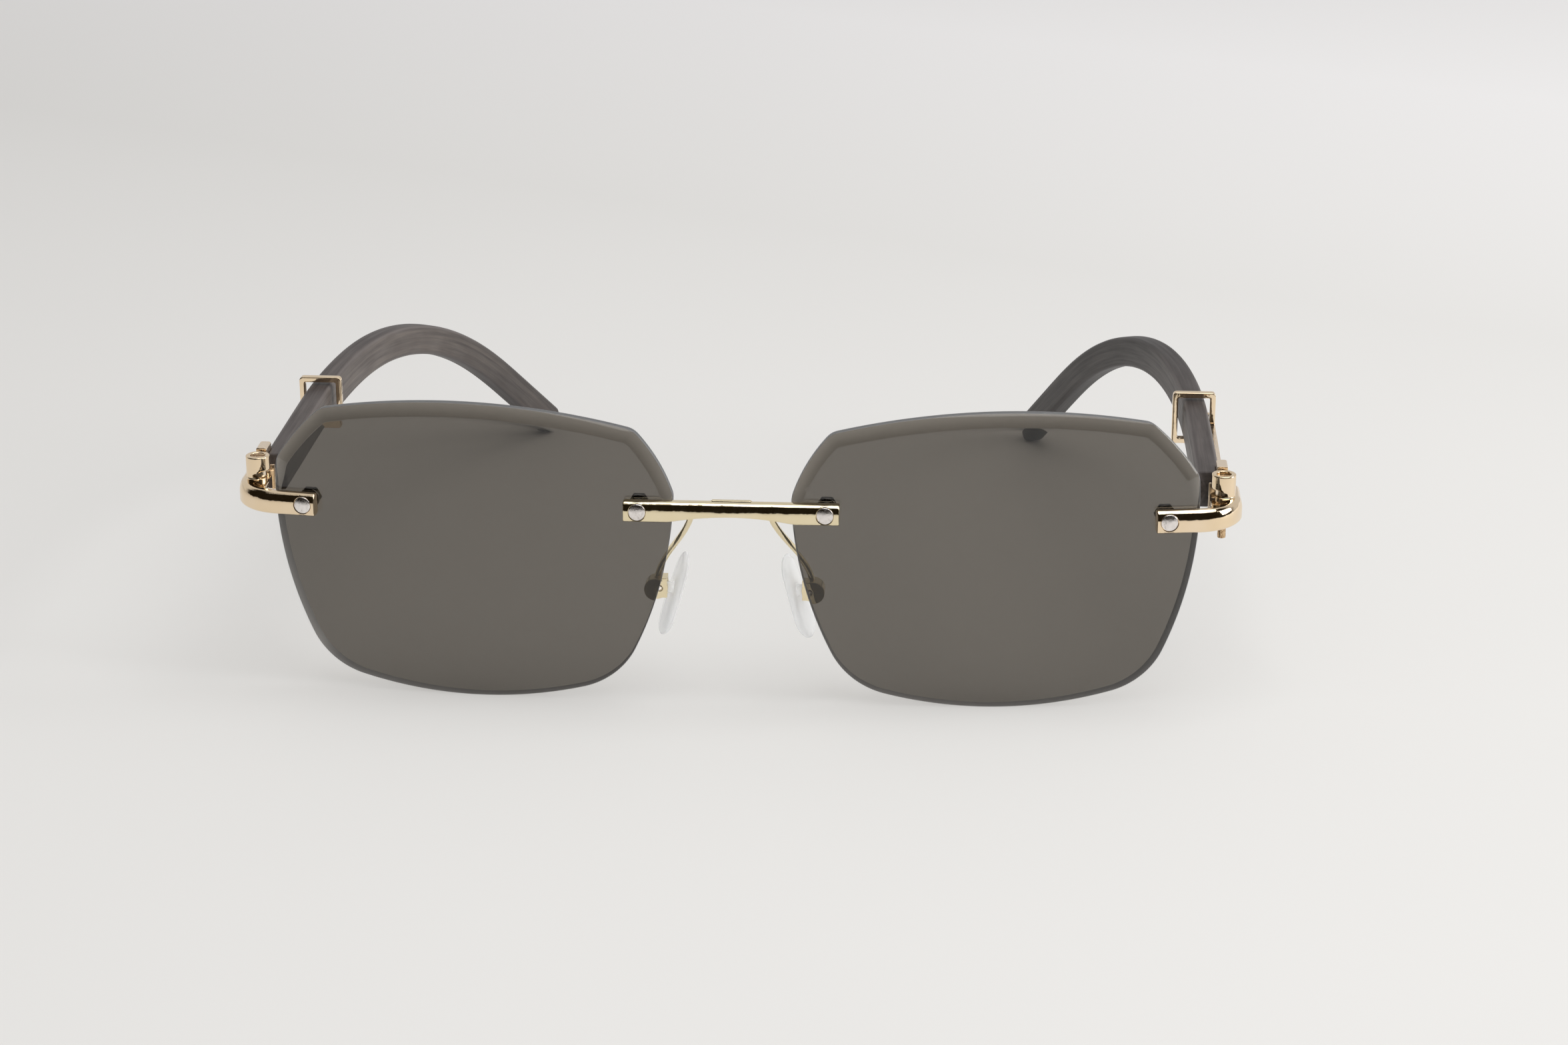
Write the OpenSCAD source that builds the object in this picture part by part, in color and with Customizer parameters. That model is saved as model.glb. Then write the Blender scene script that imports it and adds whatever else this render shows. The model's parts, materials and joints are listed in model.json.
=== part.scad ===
// Rimless sunglasses: two drilled and faceted lenses carried by a bridge and two end pieces,
// with wooden temples on screw hinges. Millimetres, +X to the viewer's right, -Y to the front, +Z up.
// The lenses and the temple tips stand on z = 0. Every part is drawn for the +X side and mirrored.

/* [Lenses] */
// Width of one lens
lens_w = 58; // [50:0.5:64]
// Gap between the two lenses at the bridge
lens_gap = 16.8; // [14:0.2:20]
// Height of one lens
lens_h = 44.7; // [36:0.1:50]
// Thickness of a lens
lens_t = 1.8; // [1.4:0.1:2.6]
// Radius of the front curve of a lens
lens_curve_r = 300; // [200:10:600]
// Width of the facet ground along the top and the upper corners
facet_w = 1.8; // [1:0.1:2.4]
// Slope of the facet against the front face
facet_slope = 24; // [12:1:30]

/* [Lens mounts] */
// Distance of a temporal mount from the temporal edge of the lens
mount_out_in = 4.6; // [4:0.1:6]
// Distance of a nasal mount from the nasal edge of the lens
mount_in_in = 5.0; // [4.6:0.1:6]
// Height of the temporal mounts
mount_out_z = 29.05; // [26:0.05:31]
// Height of the nasal mounts
mount_in_z = 30.1; // [27:0.05:32]
// Radius of a mount screw's shank
screw_r = 0.6; // [0.5:0.05:0.8]
// Radius of a mount screw's head
screw_head_r = 1.25; // [1:0.05:1.35]
// Wall of the clear bush round the shank
bush_wall = 0.32; // [0.2:0.02:0.5]
// Radius of the clear washer behind a lens
washer_r = 1.5; // [1.4:0.1:2]
// Thickness of the washer
washer_t = 0.35; // [0.2:0.05:0.6]
// Width of a cap nut across its corners
nut_corners = 3.2; // [3:0.1:4.4]
// Height of a cap nut's hexagon
nut_h = 0.9; // [0.8:0.1:1.8]

/* [Bridge] */
// Height of the bridge at its ends
bridge_h = 3.0; // [2.8:0.1:4]
// Depth of the bridge, front to back
bridge_d = 2.0; // [1.6:0.1:2.6]
// How far the bridge reaches past its mount screws
bridge_end = 2.0; // [1.7:0.1:3]
// Rise of the arch under the bridge
bridge_arch = 1.0; // [0.4:0.1:1.4]
// Width of the arch under the bridge
bridge_arch_w = 18.8; // [12:0.2:20]
// Width of the low crest on the back of the bridge
crest_w = 5.6; // [3:0.2:8]
// Height of the crest
crest_h = 0.3; // [0.1:0.1:0.6]

/* [End pieces] */
// Height of an end piece
end_h = 3.3; // [2.8:0.1:4]
// Thickness of an end piece's bar
end_t = 1.85; // [1.5:0.05:2.2]
// How far the bar reaches past its mount screw
end_tail = 1.75; // [1.6:0.05:3]
// Outer radius of the bend round the lens's edge
end_bend_r = 7.4; // [7:0.1:9]
// Slant of the front bar, which follows the lens
end_slant = 8.2; // [6:0.2:10]
// Length of the straight stretch behind the bend
end_rear = 4.4; // [2:0.1:6]

/* [Hinges] */
// Distance of the hinge axis inboard of the end piece's outer face
hinge_in = 2.8; // [2.6:0.1:3.4]
// Radius of the upper knuckle
barrel_r = 1.75; // [1.6:0.05:2]
// Height of the upper knuckle
barrel_h = 2.15; // [1.6:0.05:2.8]
// Radius of the lower knuckle, part of the bar
lower_r = 1.9; // [1.8:0.05:2.1]
// Height of the slot that the temple's tongue turns in
slot_h = 1.15; // [1:0.05:2.2]
// Radius of the tongue round the hinge screw
tongue_r = 1.15; // [1:0.05:1.3]
// Radius of the hinge screw
hinge_screw_r = 0.6; // [0.5:0.05:0.7]
// Radius of the hinge screw's head
hinge_head_r = 1.0; // [0.9:0.05:1.2]
// How far the right hinge screw reaches out below its lower knuckle
right_screw_out = 3.1; // [0.2:0.1:3.4]
// How far the left hinge screw reaches out below its lower knuckle
left_screw_out = 0.5; // [0.2:0.1:3.4]

/* [Temples] */
// Distance from the hinge axis back to the wood's front end
wood_start = 2.6; // [2.4:0.1:4]
// Length of the wood along its curve
wood_l = 125.1; // [116:0.1:130]
// Thickness of the wood
wood_w = 3.5; // [3:0.1:4]
// Height of the wood at its front end
wood_h_front = 5.4; // [5:0.1:6]
// Height of the wood in the loop
wood_h_loop = 5.6; // [5:0.1:6]
// Height of the wood over the ear and down to its tip
wood_h_tip = 4.7; // [4.4:0.1:5.6]
// Height of the wood's middle line at the hinge
wood_z = 30.5; // [29.6:0.05:31.4]
// Rise of the temple from the hinge to its bend
rise = 1.3; // [0:0.1:2]
// Angle that the temple already leans inward at the hinge
toe_first = 0.8; // [0:0.1:2]
// Angle that the temple turns inward by its tip
toe_in = 22.5; // [18:0.5:26]
// Distance along the wood to where it starts to turn inward
toe_start = 18; // [12:1:24]
// Distance along the wood to where it has turned inward
toe_end = 89; // [80:1:100]
// Angle that the temple drops behind the ear
ear_drop = 38.4; // [34:0.1:42]
// Distance along the wood to where the drop starts
drop_start = 43.5; // [38:0.5:50]
// Distance along the wood to where the drop ends
drop_end = 108; // [96:1:114]
// Distance along the wood to the gold loop
loop_at = 31; // [20:0.5:40]
// Width of the loop
loop_w = 6.5; // [6.2:0.1:7.4]
// Height of the loop
loop_h = 8.1; // [7.9:0.1:9]
// Thickness of the loop's plate
loop_t = 0.85; // [0.6:0.05:1.2]
// Depth of the loop along the temple
loop_d = 1.2; // [0.8:0.1:2]
// Height of the flat side bar
bar_h = 2.6; // [1.6:0.1:3]
// Thickness of the side bar
bar_t = 0.85; // [0.6:0.05:1]

/* [Nose pads] */
// Height of a nose pad
pad_h = 13.0; // [11:0.1:15]
// Radius of a pad's lower end
pad_low_r = 3.4; // [3:0.1:4]
// Radius of a pad's upper end
pad_top_r = 2.6; // [2:0.1:3]
// Thickness of a pad
pad_t = 1.4; // [1:0.1:2]
// Lean of the pads: their lower ends stand apart
pad_lean = 18; // [10:1:25]
// Splay of the pads: their rear edges stand apart
pad_splay = 12; // [8:1:25]
// Radius of the wire of a pad arm
arm_r = 0.45; // [0.35:0.05:0.6]
// Radius of a pad screw
pad_screw_r = 0.4; // [0.35:0.01:0.45]
// Radius of a pad box
pad_box_r = 1.7; // [1.5:0.05:2]
// Depth of a pad box, front to back
pad_box_d = 2.4; // [2.2:0.1:3]

/* [Clearances] */
// Gap between a part and what it seats against
seat = 0.06; // [0.03:0.01:0.1]
// Radial clearance of a fixed shank in its hole
fixed_fit = 0.03; // [0.02:0.01:0.05]
// Radial clearance of a turning joint
run_fit = 0.05; // [0.03:0.01:0.08]
// Gap beside a turning tongue
side_gap = 0.05; // [0.03:0.01:0.1]

/* [Hidden] */

gold = [0.88, 0.76, 0.52];
silver = [0.78, 0.77, 0.79];
smoke = [0.33, 0.32, 0.3, 0.75];
clear = [0.9, 0.92, 0.94, 0.5];
dark = [0.2, 0.19, 0.18];
stained = [0.35, 0.32, 0.31];

fine = 48;
slack = 1;

// A point of the lens's front face: a sphere whose middle lies behind the lens.
nasal_x = lens_gap / 2;
lens_mid_x = nasal_x + lens_w / 2;
lens_mid_z = lens_h / 2;
curve_x = lens_mid_x - 17.3;
curve_z = lens_mid_z + 1.7;
function lens_y(x, z) = lens_curve_r
    - sqrt(pow(lens_curve_r, 2) - pow(x - curve_x, 2) - pow(z - curve_z, 2));
function lens_lean(x) = asin((x - curve_x) / lens_curve_r);

// Mounts
outer_x = nasal_x + lens_w - mount_out_in;
inner_x = nasal_x + mount_in_in;
bush_r = screw_r + run_fit + bush_wall;
// Gap between a flat bar and the curved lens face at its mount.
lens_gap_y = seat + 0.03;
head_sink = 0.5;
head_dome = 0.2;
nut_bore_over = 0.4;
// Corner radius of the bars.
bar_round = 0.5;

// Bridge
bridge_half = inner_x + bridge_end;
bridge_back = lens_y(inner_x, mount_in_z) - lens_gap_y;
bridge_front = bridge_back - bridge_d;
arch_r = (pow(bridge_arch_w / 2, 2) + pow(bridge_arch, 2)) / (2 * bridge_arch);

// End piece: the bend's middle is behind the lens's temporal edge.
temporal_x = nasal_x + lens_w;
bend_start_x = temporal_x - 0.3;
end_back_y = lens_y(bend_start_x, mount_out_z) - lens_gap_y;
bend_x = bend_start_x - (end_bend_r - end_t) * sin(end_slant);
bend_y = end_back_y + (end_bend_r - end_t) * cos(end_slant);
end_out_x = bend_x + end_bend_r;
front_bar_l = (bend_start_x - outer_x) / cos(end_slant) + end_tail;
end_low = mount_out_z - end_h / 2;
end_top = mount_out_z + end_h / 2;

// Hinge
hinge_x = end_out_x - hinge_in;
hinge_y = bend_y - 0.2;
slot_top = end_top + slot_h;
barrel_top = slot_top + barrel_h;
web_in = 2.1;
tongue_low = end_top + side_gap;
tongue_h = slot_h - 2 * side_gap;
pocket_r = tongue_r + 0.12;
head_seat = 0.95;
plate_t = 0.45;
plate_y = hinge_y + max(barrel_r, lower_r) + 0.15;
block_out = end_out_x - end_t - 0.25;
block_w = 1.6;
block_in = block_out - block_w;
notch = 0.6;
block_rear = plate_y + 3.1;
block_top = barrel_top + 0.3;
block_low = end_low + 0.5;
plate_in = 2;
temple_screw_y = plate_y + 2.1;
temple_screw_z = mount_out_z + 2.2;
temple_screw_r = 0.5;
temple_screw_head_r = 0.9;
temple_screw_l = 3.6;

// Temple wood: the line rises a little from the hinge, turns in and then drops behind the ear.
wood_x = block_in + notch - wood_w / 2;
wood_y = hinge_y + wood_start;
// Rings along the wood, the last of them on its rounded tip.
wood_rings = 44;
tip_rings = 8;
corner_steps = 3;
function ease(t) = let (u = min(max(t, 0), 1)) u * u * (3 - 2 * u);
function heading(s) = toe_first + (toe_in - toe_first) * ease((s - toe_start) / (toe_end - toe_start));
function drop(s) = (ear_drop + rise) * ease((s - drop_start) / (drop_end - drop_start)) - rise;
function ahead(s) = [
    -sin(heading(s)) * cos(drop(s)),
    cos(heading(s)) * cos(drop(s)),
    -sin(drop(s))
];
function outward(s) = [cos(heading(s)), sin(heading(s)), 0];
function upward(s) = [-sin(heading(s)) * sin(drop(s)), cos(heading(s)) * sin(drop(s)), cos(drop(s))];
wood_step = 1;
wood_line = [
    for (
        i = 0, p = [wood_x, wood_y, wood_z];
        i <= wood_l / wood_step;
        p = p + wood_step * ahead((i + 0.5) * wood_step), i = i + 1
    ) p
];
function wood_point(s) = let (i = min(floor(s / wood_step), len(wood_line) - 1))
    wood_line[i] + (s - i * wood_step) * ahead(s);
function wood_height(s) = s < loop_at
    ? wood_h_front + (wood_h_loop - wood_h_front) * s / loop_at
    : wood_h_loop + (wood_h_tip - wood_h_loop) * ease((s - loop_at) / (toe_end - loop_at));
tip_r = wood_h_tip / 2;
function tip_share(s) = let (u = (s - (wood_l - tip_r)) / tip_r) u <= 0 ? 1 : sqrt(max(1 - u * u, 0.012));
function ring_place(i) = i < wood_rings - tip_rings
    ? (wood_l - tip_r) * i / (wood_rings - tip_rings)
    : wood_l - tip_r * (1 - sin(90 * (i - wood_rings + tip_rings) / tip_rings));

function rounded(w, h, r) = [
    for (c = [[1, 1, 0], [-1, 1, 90], [-1, -1, 180], [1, -1, 270]])
        for (k = [0:corner_steps])
            let (a = c[2] + 90 * k / corner_steps)
                [c[0] * (w / 2 - r) + r * cos(a), c[1] * (h / 2 - r) + r * sin(a)]
];
function wood_ring(s) = let (
        share = tip_share(s),
        h = wood_height(s) * share,
        w = wood_w * min(1, 0.35 + 0.65 * share),
        r = min(0.8, h / 2.2, w / 2.2)
    ) [for (q = rounded(w, h, r)) wood_point(s) + q[0] * outward(s) + q[1] * upward(s)];
wood_skin = [for (i = [0:wood_rings]) wood_ring(ring_place(i))];

// Loop and side bar
loop_mid = wood_point(loop_at);
loop_low = loop_mid[2] - loop_h / 2;
loop_out = block_out - 0.1;
loop_in = loop_out - loop_w;
loop_y = loop_mid[1] - loop_d / 2;
bar_top = block_low + bar_h;
bar_out = loop_out;
peg_r = 0.38;
peg_z = loop_low + loop_h - 3.65;
peg_sink = 1.4;
peg_start = loop_mid[0] + wood_w / 2 - peg_sink;

// Nose pads: each hangs on its screw in a box behind the nasal edge.
pad_pivot = [nasal_x + 2.5, lens_y(nasal_x, 16) + lens_t + 2.7, 16.5];
pad_mid = [pad_pivot[0] - 1.7, pad_pivot[1] + 1.6, pad_pivot[2] - 1.75];
tab_t = 1.0;
tab_r = 0.95;
pad_slot = tab_t + 2 * side_gap;
arm_start = [bridge_half - 9.6, bridge_front + bridge_d / 2, mount_in_z - bridge_h / 2 + 0.52];
arm_end = [pad_pivot[0] + 0.3, pad_pivot[1], pad_pivot[2] + pad_box_r + 0.1];
arm_sink = 0.25;
arm_pull = [1.5, 2.6, -4.4];
arm_lift = [-1.0, -0.3, 3.8];
arm_rings = 20;
arm_sides = 12;
function bezier(t) = pow(1 - t, 3) * arm_start + 3 * t * pow(1 - t, 2) * (arm_start + arm_pull)
    + 3 * t * t * (1 - t) * (arm_end + arm_lift) + pow(t, 3) * arm_end;
function bezier_dir(t) = let (d = bezier(min(t + 0.01, 1)) - bezier(max(t - 0.01, 0))) d / norm(d);
function unit(v) = v / norm(v);
function arm_ring(t) = let (
        d = t == 0 || t == 1 ? [0, 0, -1] : bezier_dir(t),
        a = unit(cross(d, [0, 1, 0])),
        b = cross(a, d)
    ) [
        for (k = [0:arm_sides - 1])
            let (turn = 360 * k / arm_sides)
                bezier(t) + arm_r * (cos(turn) * a + sin(turn) * b)
    ];

// The whole part is moved so that its box is centred over the origin.
front_y = bridge_front - 0.2;
rear_y = max([for (r = wood_skin) for (p = r) p[1]]);
shift_y = -(front_y + rear_y) / 2;

// Closed skin over a list of rings with the same number of points.
module skin(rings) {
    n = len(rings[0]);
    m = len(rings);
    points = [for (r = rings) for (p = r) p];
    first = [for (k = [1:n - 2]) [0, k + 1, k]];
    last = [for (k = [1:n - 2]) [(m - 1) * n, (m - 1) * n + k, (m - 1) * n + k + 1]];
    walls = [
        for (i = [0:m - 2])
            for (k = [0:n - 1])
                let (a = i * n + k, b = i * n + (k + 1) % n)
                    for (f = [[a, b, b + n], [a, b + n, a + n]]) f
    ];
    polyhedron(points = points, faces = concat(first, walls, last), convexity = 6);
}

// Rectangle with round corners, drawn from squares and circles so that the corners stay true arcs.
module soft_rect(w, h, r) {
    square([w - 2 * r, h], center = true);
    square([w, h - 2 * r], center = true);
    for (x = [-1, 1])
        for (y = [-1, 1])
            translate([x * (w / 2 - r), y * (h / 2 - r)]) circle(r = r, $fn = fine);
}

// Places a part on its side and centres the whole model.
module place(side) {
    translate([0, shift_y, 0]) mirror([side < 0 ? 1 : 0, 0, 0]) children();
}

// Frame of a lens mount: its origin on the lens's front face, +Z going back through the lens.
module at_mount(x, z) {
    translate([x, lens_y(x, z), z]) rotate([0, 0, lens_lean(x)]) rotate([-90, 0, 0]) children();
}

// Lens outline: six arcs, each [middle x, middle z, radius], going round from the top.
top_r = lens_w * 1.8;
low_r = lens_w * 1.08;
side_r = lens_w * 0.99;
nose_r = lens_w;
outer_cut_r = lens_w * 0.6;
inner_cut_r = lens_w * 0.43;
top_peak_x = nasal_x + lens_w * 0.55;
low_peak_x = nasal_x + lens_w * 0.5;
// The upper corners are cut between two points on each side.
outer_cut = [[temporal_x - 7.3, lens_h - 1.5], [temporal_x - 0.32, lens_h - 9.4]];
inner_cut = [[nasal_x + 0.63, lens_h - 11.25], [nasal_x + 5.94, lens_h - 3.05]];
function arc_through(a, b, r) = let (
        m = (a + b) / 2,
        d = b - a,
        n = [d[1], -d[0]] / norm(d),
        c = m + n * sqrt(r * r - d * d / 4)
    ) [c[0], c[1], r];
arcs = [
    [top_peak_x, lens_h - top_r, top_r],
    arc_through(outer_cut[0], outer_cut[1], outer_cut_r),
    [temporal_x - side_r, lens_h * 0.7, side_r],
    [low_peak_x, low_r, low_r],
    [nasal_x + nose_r, lens_h * 0.75, nose_r],
    arc_through(inner_cut[0], inner_cut[1], inner_cut_r)
];
// Radius of the round corner between each arc and the next one.
corner_r = [3, 3, 11.2, 11.9, 3, 3];
corner_lap = 0.003;
function xy(v) = [v[0], v[1]];
// Meeting point of two circles, on the right of the line from the first to the second.
function meet(a, ra, b, rb) = let (
        d = norm(b - a),
        u = (b - a) / d,
        x = (d * d + ra * ra - rb * rb) / (2 * d),
        y = sqrt(ra * ra - x * x)
    ) a + x * u + y * [u[1], -u[0]];
function corner_mid(i) = let (a = arcs[i], b = arcs[(i + 1) % 6], r = corner_r[i])
    meet(xy(a), a[2] - r, xy(b), b[2] - r);
function touch(arc, mid) = xy(arc) + arc[2] * (mid - xy(arc)) / norm(mid - xy(arc));

// What lies outside one of the small arcs that cut the upper corners.
module cut_tool(cut, arc) {
    u = unit(cut[1] - cut[0]);
    n = [-u[1], u[0]];
    a = cut[0] - 4 * u - 1.5 * n;
    b = cut[1] + 4 * u - 1.5 * n;
    difference() {
        translate([0, 15, 0]) rotate([90, 0, 0]) linear_extrude(height = 18)
            polygon([a, b, b + 12 * n, a + 12 * n]);
        translate([arc[0], -4, arc[1]]) rotate([-90, 0, 0]) cylinder(r = arc[2], h = 20, $fn = 360);
    }
}

module lens_blank() {
    difference() {
        intersection_for(a = [arcs[0], arcs[2], arcs[3], arcs[4]]) {
            translate([a[0], -2, a[1]]) rotate([-90, 0, 0]) cylinder(r = a[2], h = 16, $fn = 360);
        }
        cut_tool(outer_cut, arcs[1]);
        cut_tool(inner_cut, arcs[5]);
        for (i = [0:5]) {
            mid = corner_mid(i);
            p = touch(arcs[i], mid);
            q = touch(arcs[(i + 1) % 6], mid);
            far = (p + q) / 2 + 3 * ((p + q) / 2 - mid);
            difference() {
                translate([0, 15, 0]) rotate([90, 0, 0]) linear_extrude(height = 18) polygon([p, far, q]);
                translate([mid[0], -4, mid[1]]) rotate([-90, 0, 0])
                    cylinder(r = corner_r[i] + corner_lap, h = 20, $fn = 180);
            }
        }
    }
}

// Block over a facet: its lower face runs through two points of the front face and slopes
// away from the lens's middle.
module facet_tool(p, q) {
    m = (p + q) / 2;
    d = unit([q[0] - p[0], 0, q[1] - p[1]]);
    c = [m[0], lens_y(m[0], m[1]), m[1]];
    e = unit(c - [curve_x, lens_curve_r, curve_z]);
    side = unit(cross(e, d));
    away = side * (c - [lens_mid_x, c[1], lens_mid_z]) > 0 ? side : -side;
    n = cos(facet_slope) * e + sin(facet_slope) * away;
    translate(c)
        rotate([0, acos(n[2]), atan2(n[1], n[0])])
            translate([-20, -20, 0]) cube([40, 40, 4]);
}

// Ring over the facet along the top: a cone about an axis through the middle of the front curve.
module top_facet_tool() {
    e = unit([top_peak_x - curve_x, lens_y(top_peak_x, lens_h) - lens_curve_r, lens_h - curve_z]);
    down = unit([0, 0, -1] + e[2] * e);
    spread = asin(top_r / lens_curve_r * cos(16.6));
    axis = cos(spread) * e + sin(spread) * down;
    inner = spread - facet_w / lens_curve_r * 180 / PI;
    r1 = lens_curve_r * sin(inner);
    h1 = lens_curve_r * cos(inner);
    taper = tan(inner + facet_slope);
    translate([curve_x, lens_curve_r, curve_z])
        rotate([0, acos(axis[2]), atan2(axis[1], axis[0])])
            difference() {
                translate([0, 0, h1 - 3]) cylinder(r = r1 + 12, h = 5, $fn = 360);
                translate([0, 0, h1 - 4])
                    cylinder(r1 = r1 + 4 / taper, r2 = r1 - 3 / taper, h = 7, $fn = 720);
            }
}

// A cut line moved towards the lens's middle.
function inset(cut, w) = let (
        d = cut[1] - cut[0],
        n = [d[1], -d[0]] / norm(d)
    ) [cut[0] + n * w, cut[1] + n * w];
outer_facet = inset(outer_cut, facet_w);
inner_facet = inset(inner_cut, facet_w);
outer_taper = [outer_facet[1], [temporal_x - 0.3, mount_out_z - end_h / 2]];
inner_taper = [inner_facet[0], [nasal_x + 0.3, mount_in_z - bridge_h / 2]];

module lens() {
    color(smoke) difference() {
        intersection() {
            lens_blank();
            translate([curve_x, lens_curve_r, curve_z]) sphere(r = lens_curve_r, $fn = 360);
        }
        translate([curve_x, lens_curve_r, curve_z]) sphere(r = lens_curve_r - lens_t, $fn = 360);
        facet_tool(outer_facet[0], outer_facet[1]);
        facet_tool(inner_facet[0], inner_facet[1]);
        facet_tool(outer_taper[0], outer_taper[1]);
        facet_tool(inner_taper[0], inner_taper[1]);
        top_facet_tool();
        lens_hole(outer_x, mount_out_z);
        lens_hole(inner_x, mount_in_z);
    }
}

module lens_hole(x, z) {
    at_mount(x, z) translate([0, 0, -3]) cylinder(r = bush_r + fixed_fit, h = 8, $fn = fine);
}

// Screw with a low round head: its head lies in the bar, its end in the cap nut.
module mount_screw(x, z, depth) {
    face = -depth - lens_gap_y;
    end = lens_t + washer_t + nut_h + 0.35;
    dome_r = (pow(screw_head_r, 2) + pow(head_dome, 2)) / (2 * head_dome);
    color(silver) at_mount(x, z) {
        translate([0, 0, face]) cylinder(r = screw_r, h = end - face, $fn = fine);
        translate([0, 0, face]) cylinder(r = screw_head_r, h = head_sink - seat, $fn = fine);
        intersection() {
            translate([0, 0, face - head_dome + dome_r]) sphere(r = dome_r, $fn = 96);
            translate([0, 0, face - 1]) cylinder(r = screw_head_r, h = 1.2, $fn = fine);
        }
    }
}

// Hole and head seat for a mount screw, cut from the bar in front of the lens.
module mount_cut(x, z, depth) {
    face = -depth - lens_gap_y;
    at_mount(x, z) {
        translate([0, 0, face - 1]) cylinder(r = screw_r + fixed_fit, h = depth + 3, $fn = fine);
        translate([0, 0, face - 1]) cylinder(r = screw_head_r + fixed_fit, h = head_sink + 1, $fn = fine);
    }
}

module bush(x, z) {
    color(clear) at_mount(x, z) difference() {
        cylinder(r = bush_r, h = lens_t, $fn = fine);
        translate([0, 0, -slack]) cylinder(r = screw_r + fixed_fit, h = lens_t + 2 * slack, $fn = fine);
    }
}

module washer(x, z) {
    color(clear) at_mount(x, z) translate([0, 0, lens_t + seat]) difference() {
        cylinder(r = washer_r, h = washer_t, $fn = fine);
        translate([0, 0, -slack]) cylinder(r = screw_r + fixed_fit, h = washer_t + 2 * slack, $fn = fine);
    }
}

// Cap nut: a hexagon with a low dome, bored blind from the front.
module nut(x, z) {
    low = lens_t + washer_t + 2 * seat;
    r = nut_corners / 2;
    flat_r = r * cos(30);
    color(dark) at_mount(x, z) difference() {
        union() {
            translate([0, 0, low]) cylinder(r = r, h = nut_h, $fn = 6);
            intersection() {
                translate([0, 0, low + nut_h - 0.6]) sphere(r = flat_r, $fn = 64);
                translate([0, 0, low]) cylinder(r = r, h = 4, $fn = fine);
            }
        }
        translate([0, 0, low - slack])
            cylinder(r = screw_r + fixed_fit, h = nut_h + slack + nut_bore_over, $fn = fine);
    }
}

// Bridge: a soft-edged bar with an arch cut under it and a low crest at its back.
module bridge() {
    arch_top = mount_in_z - bridge_h / 2 + bridge_arch;
    color(gold) translate([0, shift_y, 0]) difference() {
        union() {
            translate([-bridge_half, bridge_front + bridge_d / 2, mount_in_z])
                rotate([90, 0, 90]) linear_extrude(height = 2 * bridge_half)
                    soft_rect(bridge_d, bridge_h, bar_round);
            translate([-crest_w / 2, bridge_back - 0.7, mount_in_z + bridge_h / 2 - 0.6])
                cube([crest_w, 0.7, 0.6 + crest_h]);
        }
        translate([0, bridge_back + slack, arch_top - arch_r])
            rotate([90, 0, 0]) cylinder(r = arch_r, h = bridge_d + 2 * slack, $fn = 360);
        for (side = [1, -1]) mirror([side < 0 ? 1 : 0, 0, 0]) mount_cut(inner_x, mount_in_z, bridge_d);
    }
}

// End piece: a bar on the lens's face, bent round its edge, with a lower knuckle, a neck and an
// upper knuckle. The slot between the knuckles opens to the inside and the rear.
module end_piece() {
    mid_r = end_bend_r - end_t / 2;
    color(gold) difference() {
        union() {
            translate([bend_x, bend_y, mount_out_z]) {
                rotate([0, 0, end_slant - 90])
                    rotate_extrude(angle = 90 - end_slant, $fn = 180)
                        translate([mid_r, 0]) soft_rect(end_t, end_h, bar_round);
                rotate([0, 0, end_slant - 90]) translate([mid_r, 0, 0])
                    rotate([90, 0, 0]) linear_extrude(height = front_bar_l)
                        soft_rect(end_t, end_h, bar_round);
                translate([mid_r, 0, 0]) rotate([-90, 0, 0])
                    linear_extrude(height = end_rear) soft_rect(end_t, end_h, bar_round);
            }
            translate([hinge_x, hinge_y, end_low]) cylinder(r = lower_r, h = end_h, $fn = fine);
            translate([0, 0, end_low]) linear_extrude(height = end_h) web();
            translate([hinge_x, hinge_y, slot_top]) cylinder(r = barrel_r, h = barrel_h, $fn = 64);
            neck();
        }
        translate([hinge_x, hinge_y, end_low - slack])
            cylinder(r = hinge_screw_r + fixed_fit, h = barrel_top - end_low + 2 * slack, $fn = fine);
        translate([hinge_x, hinge_y, barrel_top - head_seat])
            cylinder(r = hinge_head_r + fixed_fit, h = head_seat + slack, $fn = fine);
        mount_cut(outer_x, mount_out_z, end_t);
    }
}

// Solid between the bend and the lower knuckle, with a straight inner side.
module web() {
    intersection() {
        polygon([
            [hinge_x - web_in, bend_y - end_bend_r],
            [end_out_x, bend_y - end_bend_r],
            [end_out_x, hinge_y],
            [hinge_x - lower_r, hinge_y]
        ]);
        translate([bend_x, bend_y]) circle(r = end_bend_r - end_t / 2, $fn = 180);
    }
}

// Neck: the front and outer wall of the knuckle, with a round cove on its inner side.
module neck() {
    difference() {
        translate([hinge_x, hinge_y, end_top - 0.3]) cylinder(r = barrel_r, h = slot_h + 0.6, $fn = 64);
        translate([hinge_x, hinge_y, end_top]) cylinder(r = pocket_r, h = slot_h, $fn = fine);
        translate([hinge_x - 4, hinge_y + 0.2, end_top]) cube([8, 4, slot_h]);
        translate([hinge_x - 0.85, hinge_y - 4, end_top + slot_h / 2])
            rotate([-90, 0, 0]) cylinder(r = slot_h / 2, h = 6, $fn = fine);
        translate([hinge_x - 4, hinge_y - 4, end_top]) cube([3.15, 6, slot_h]);
    }
}

// Hinge screw: a slotted head sunk in the upper knuckle, its end below the bar.
module hinge_screw(out) {
    head_low = barrel_top - head_seat + seat;
    color(silver) translate([hinge_x, hinge_y, 0]) difference() {
        union() {
            translate([0, 0, end_low - out])
                cylinder(r = hinge_screw_r, h = head_low - end_low + out + 0.1, $fn = fine);
            translate([0, 0, head_low]) cylinder(r = hinge_head_r, h = 0.5, $fn = fine);
        }
        translate([-2, -0.15, head_low + 0.25]) cube([4, 0.3, 1]);
    }
}

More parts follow.
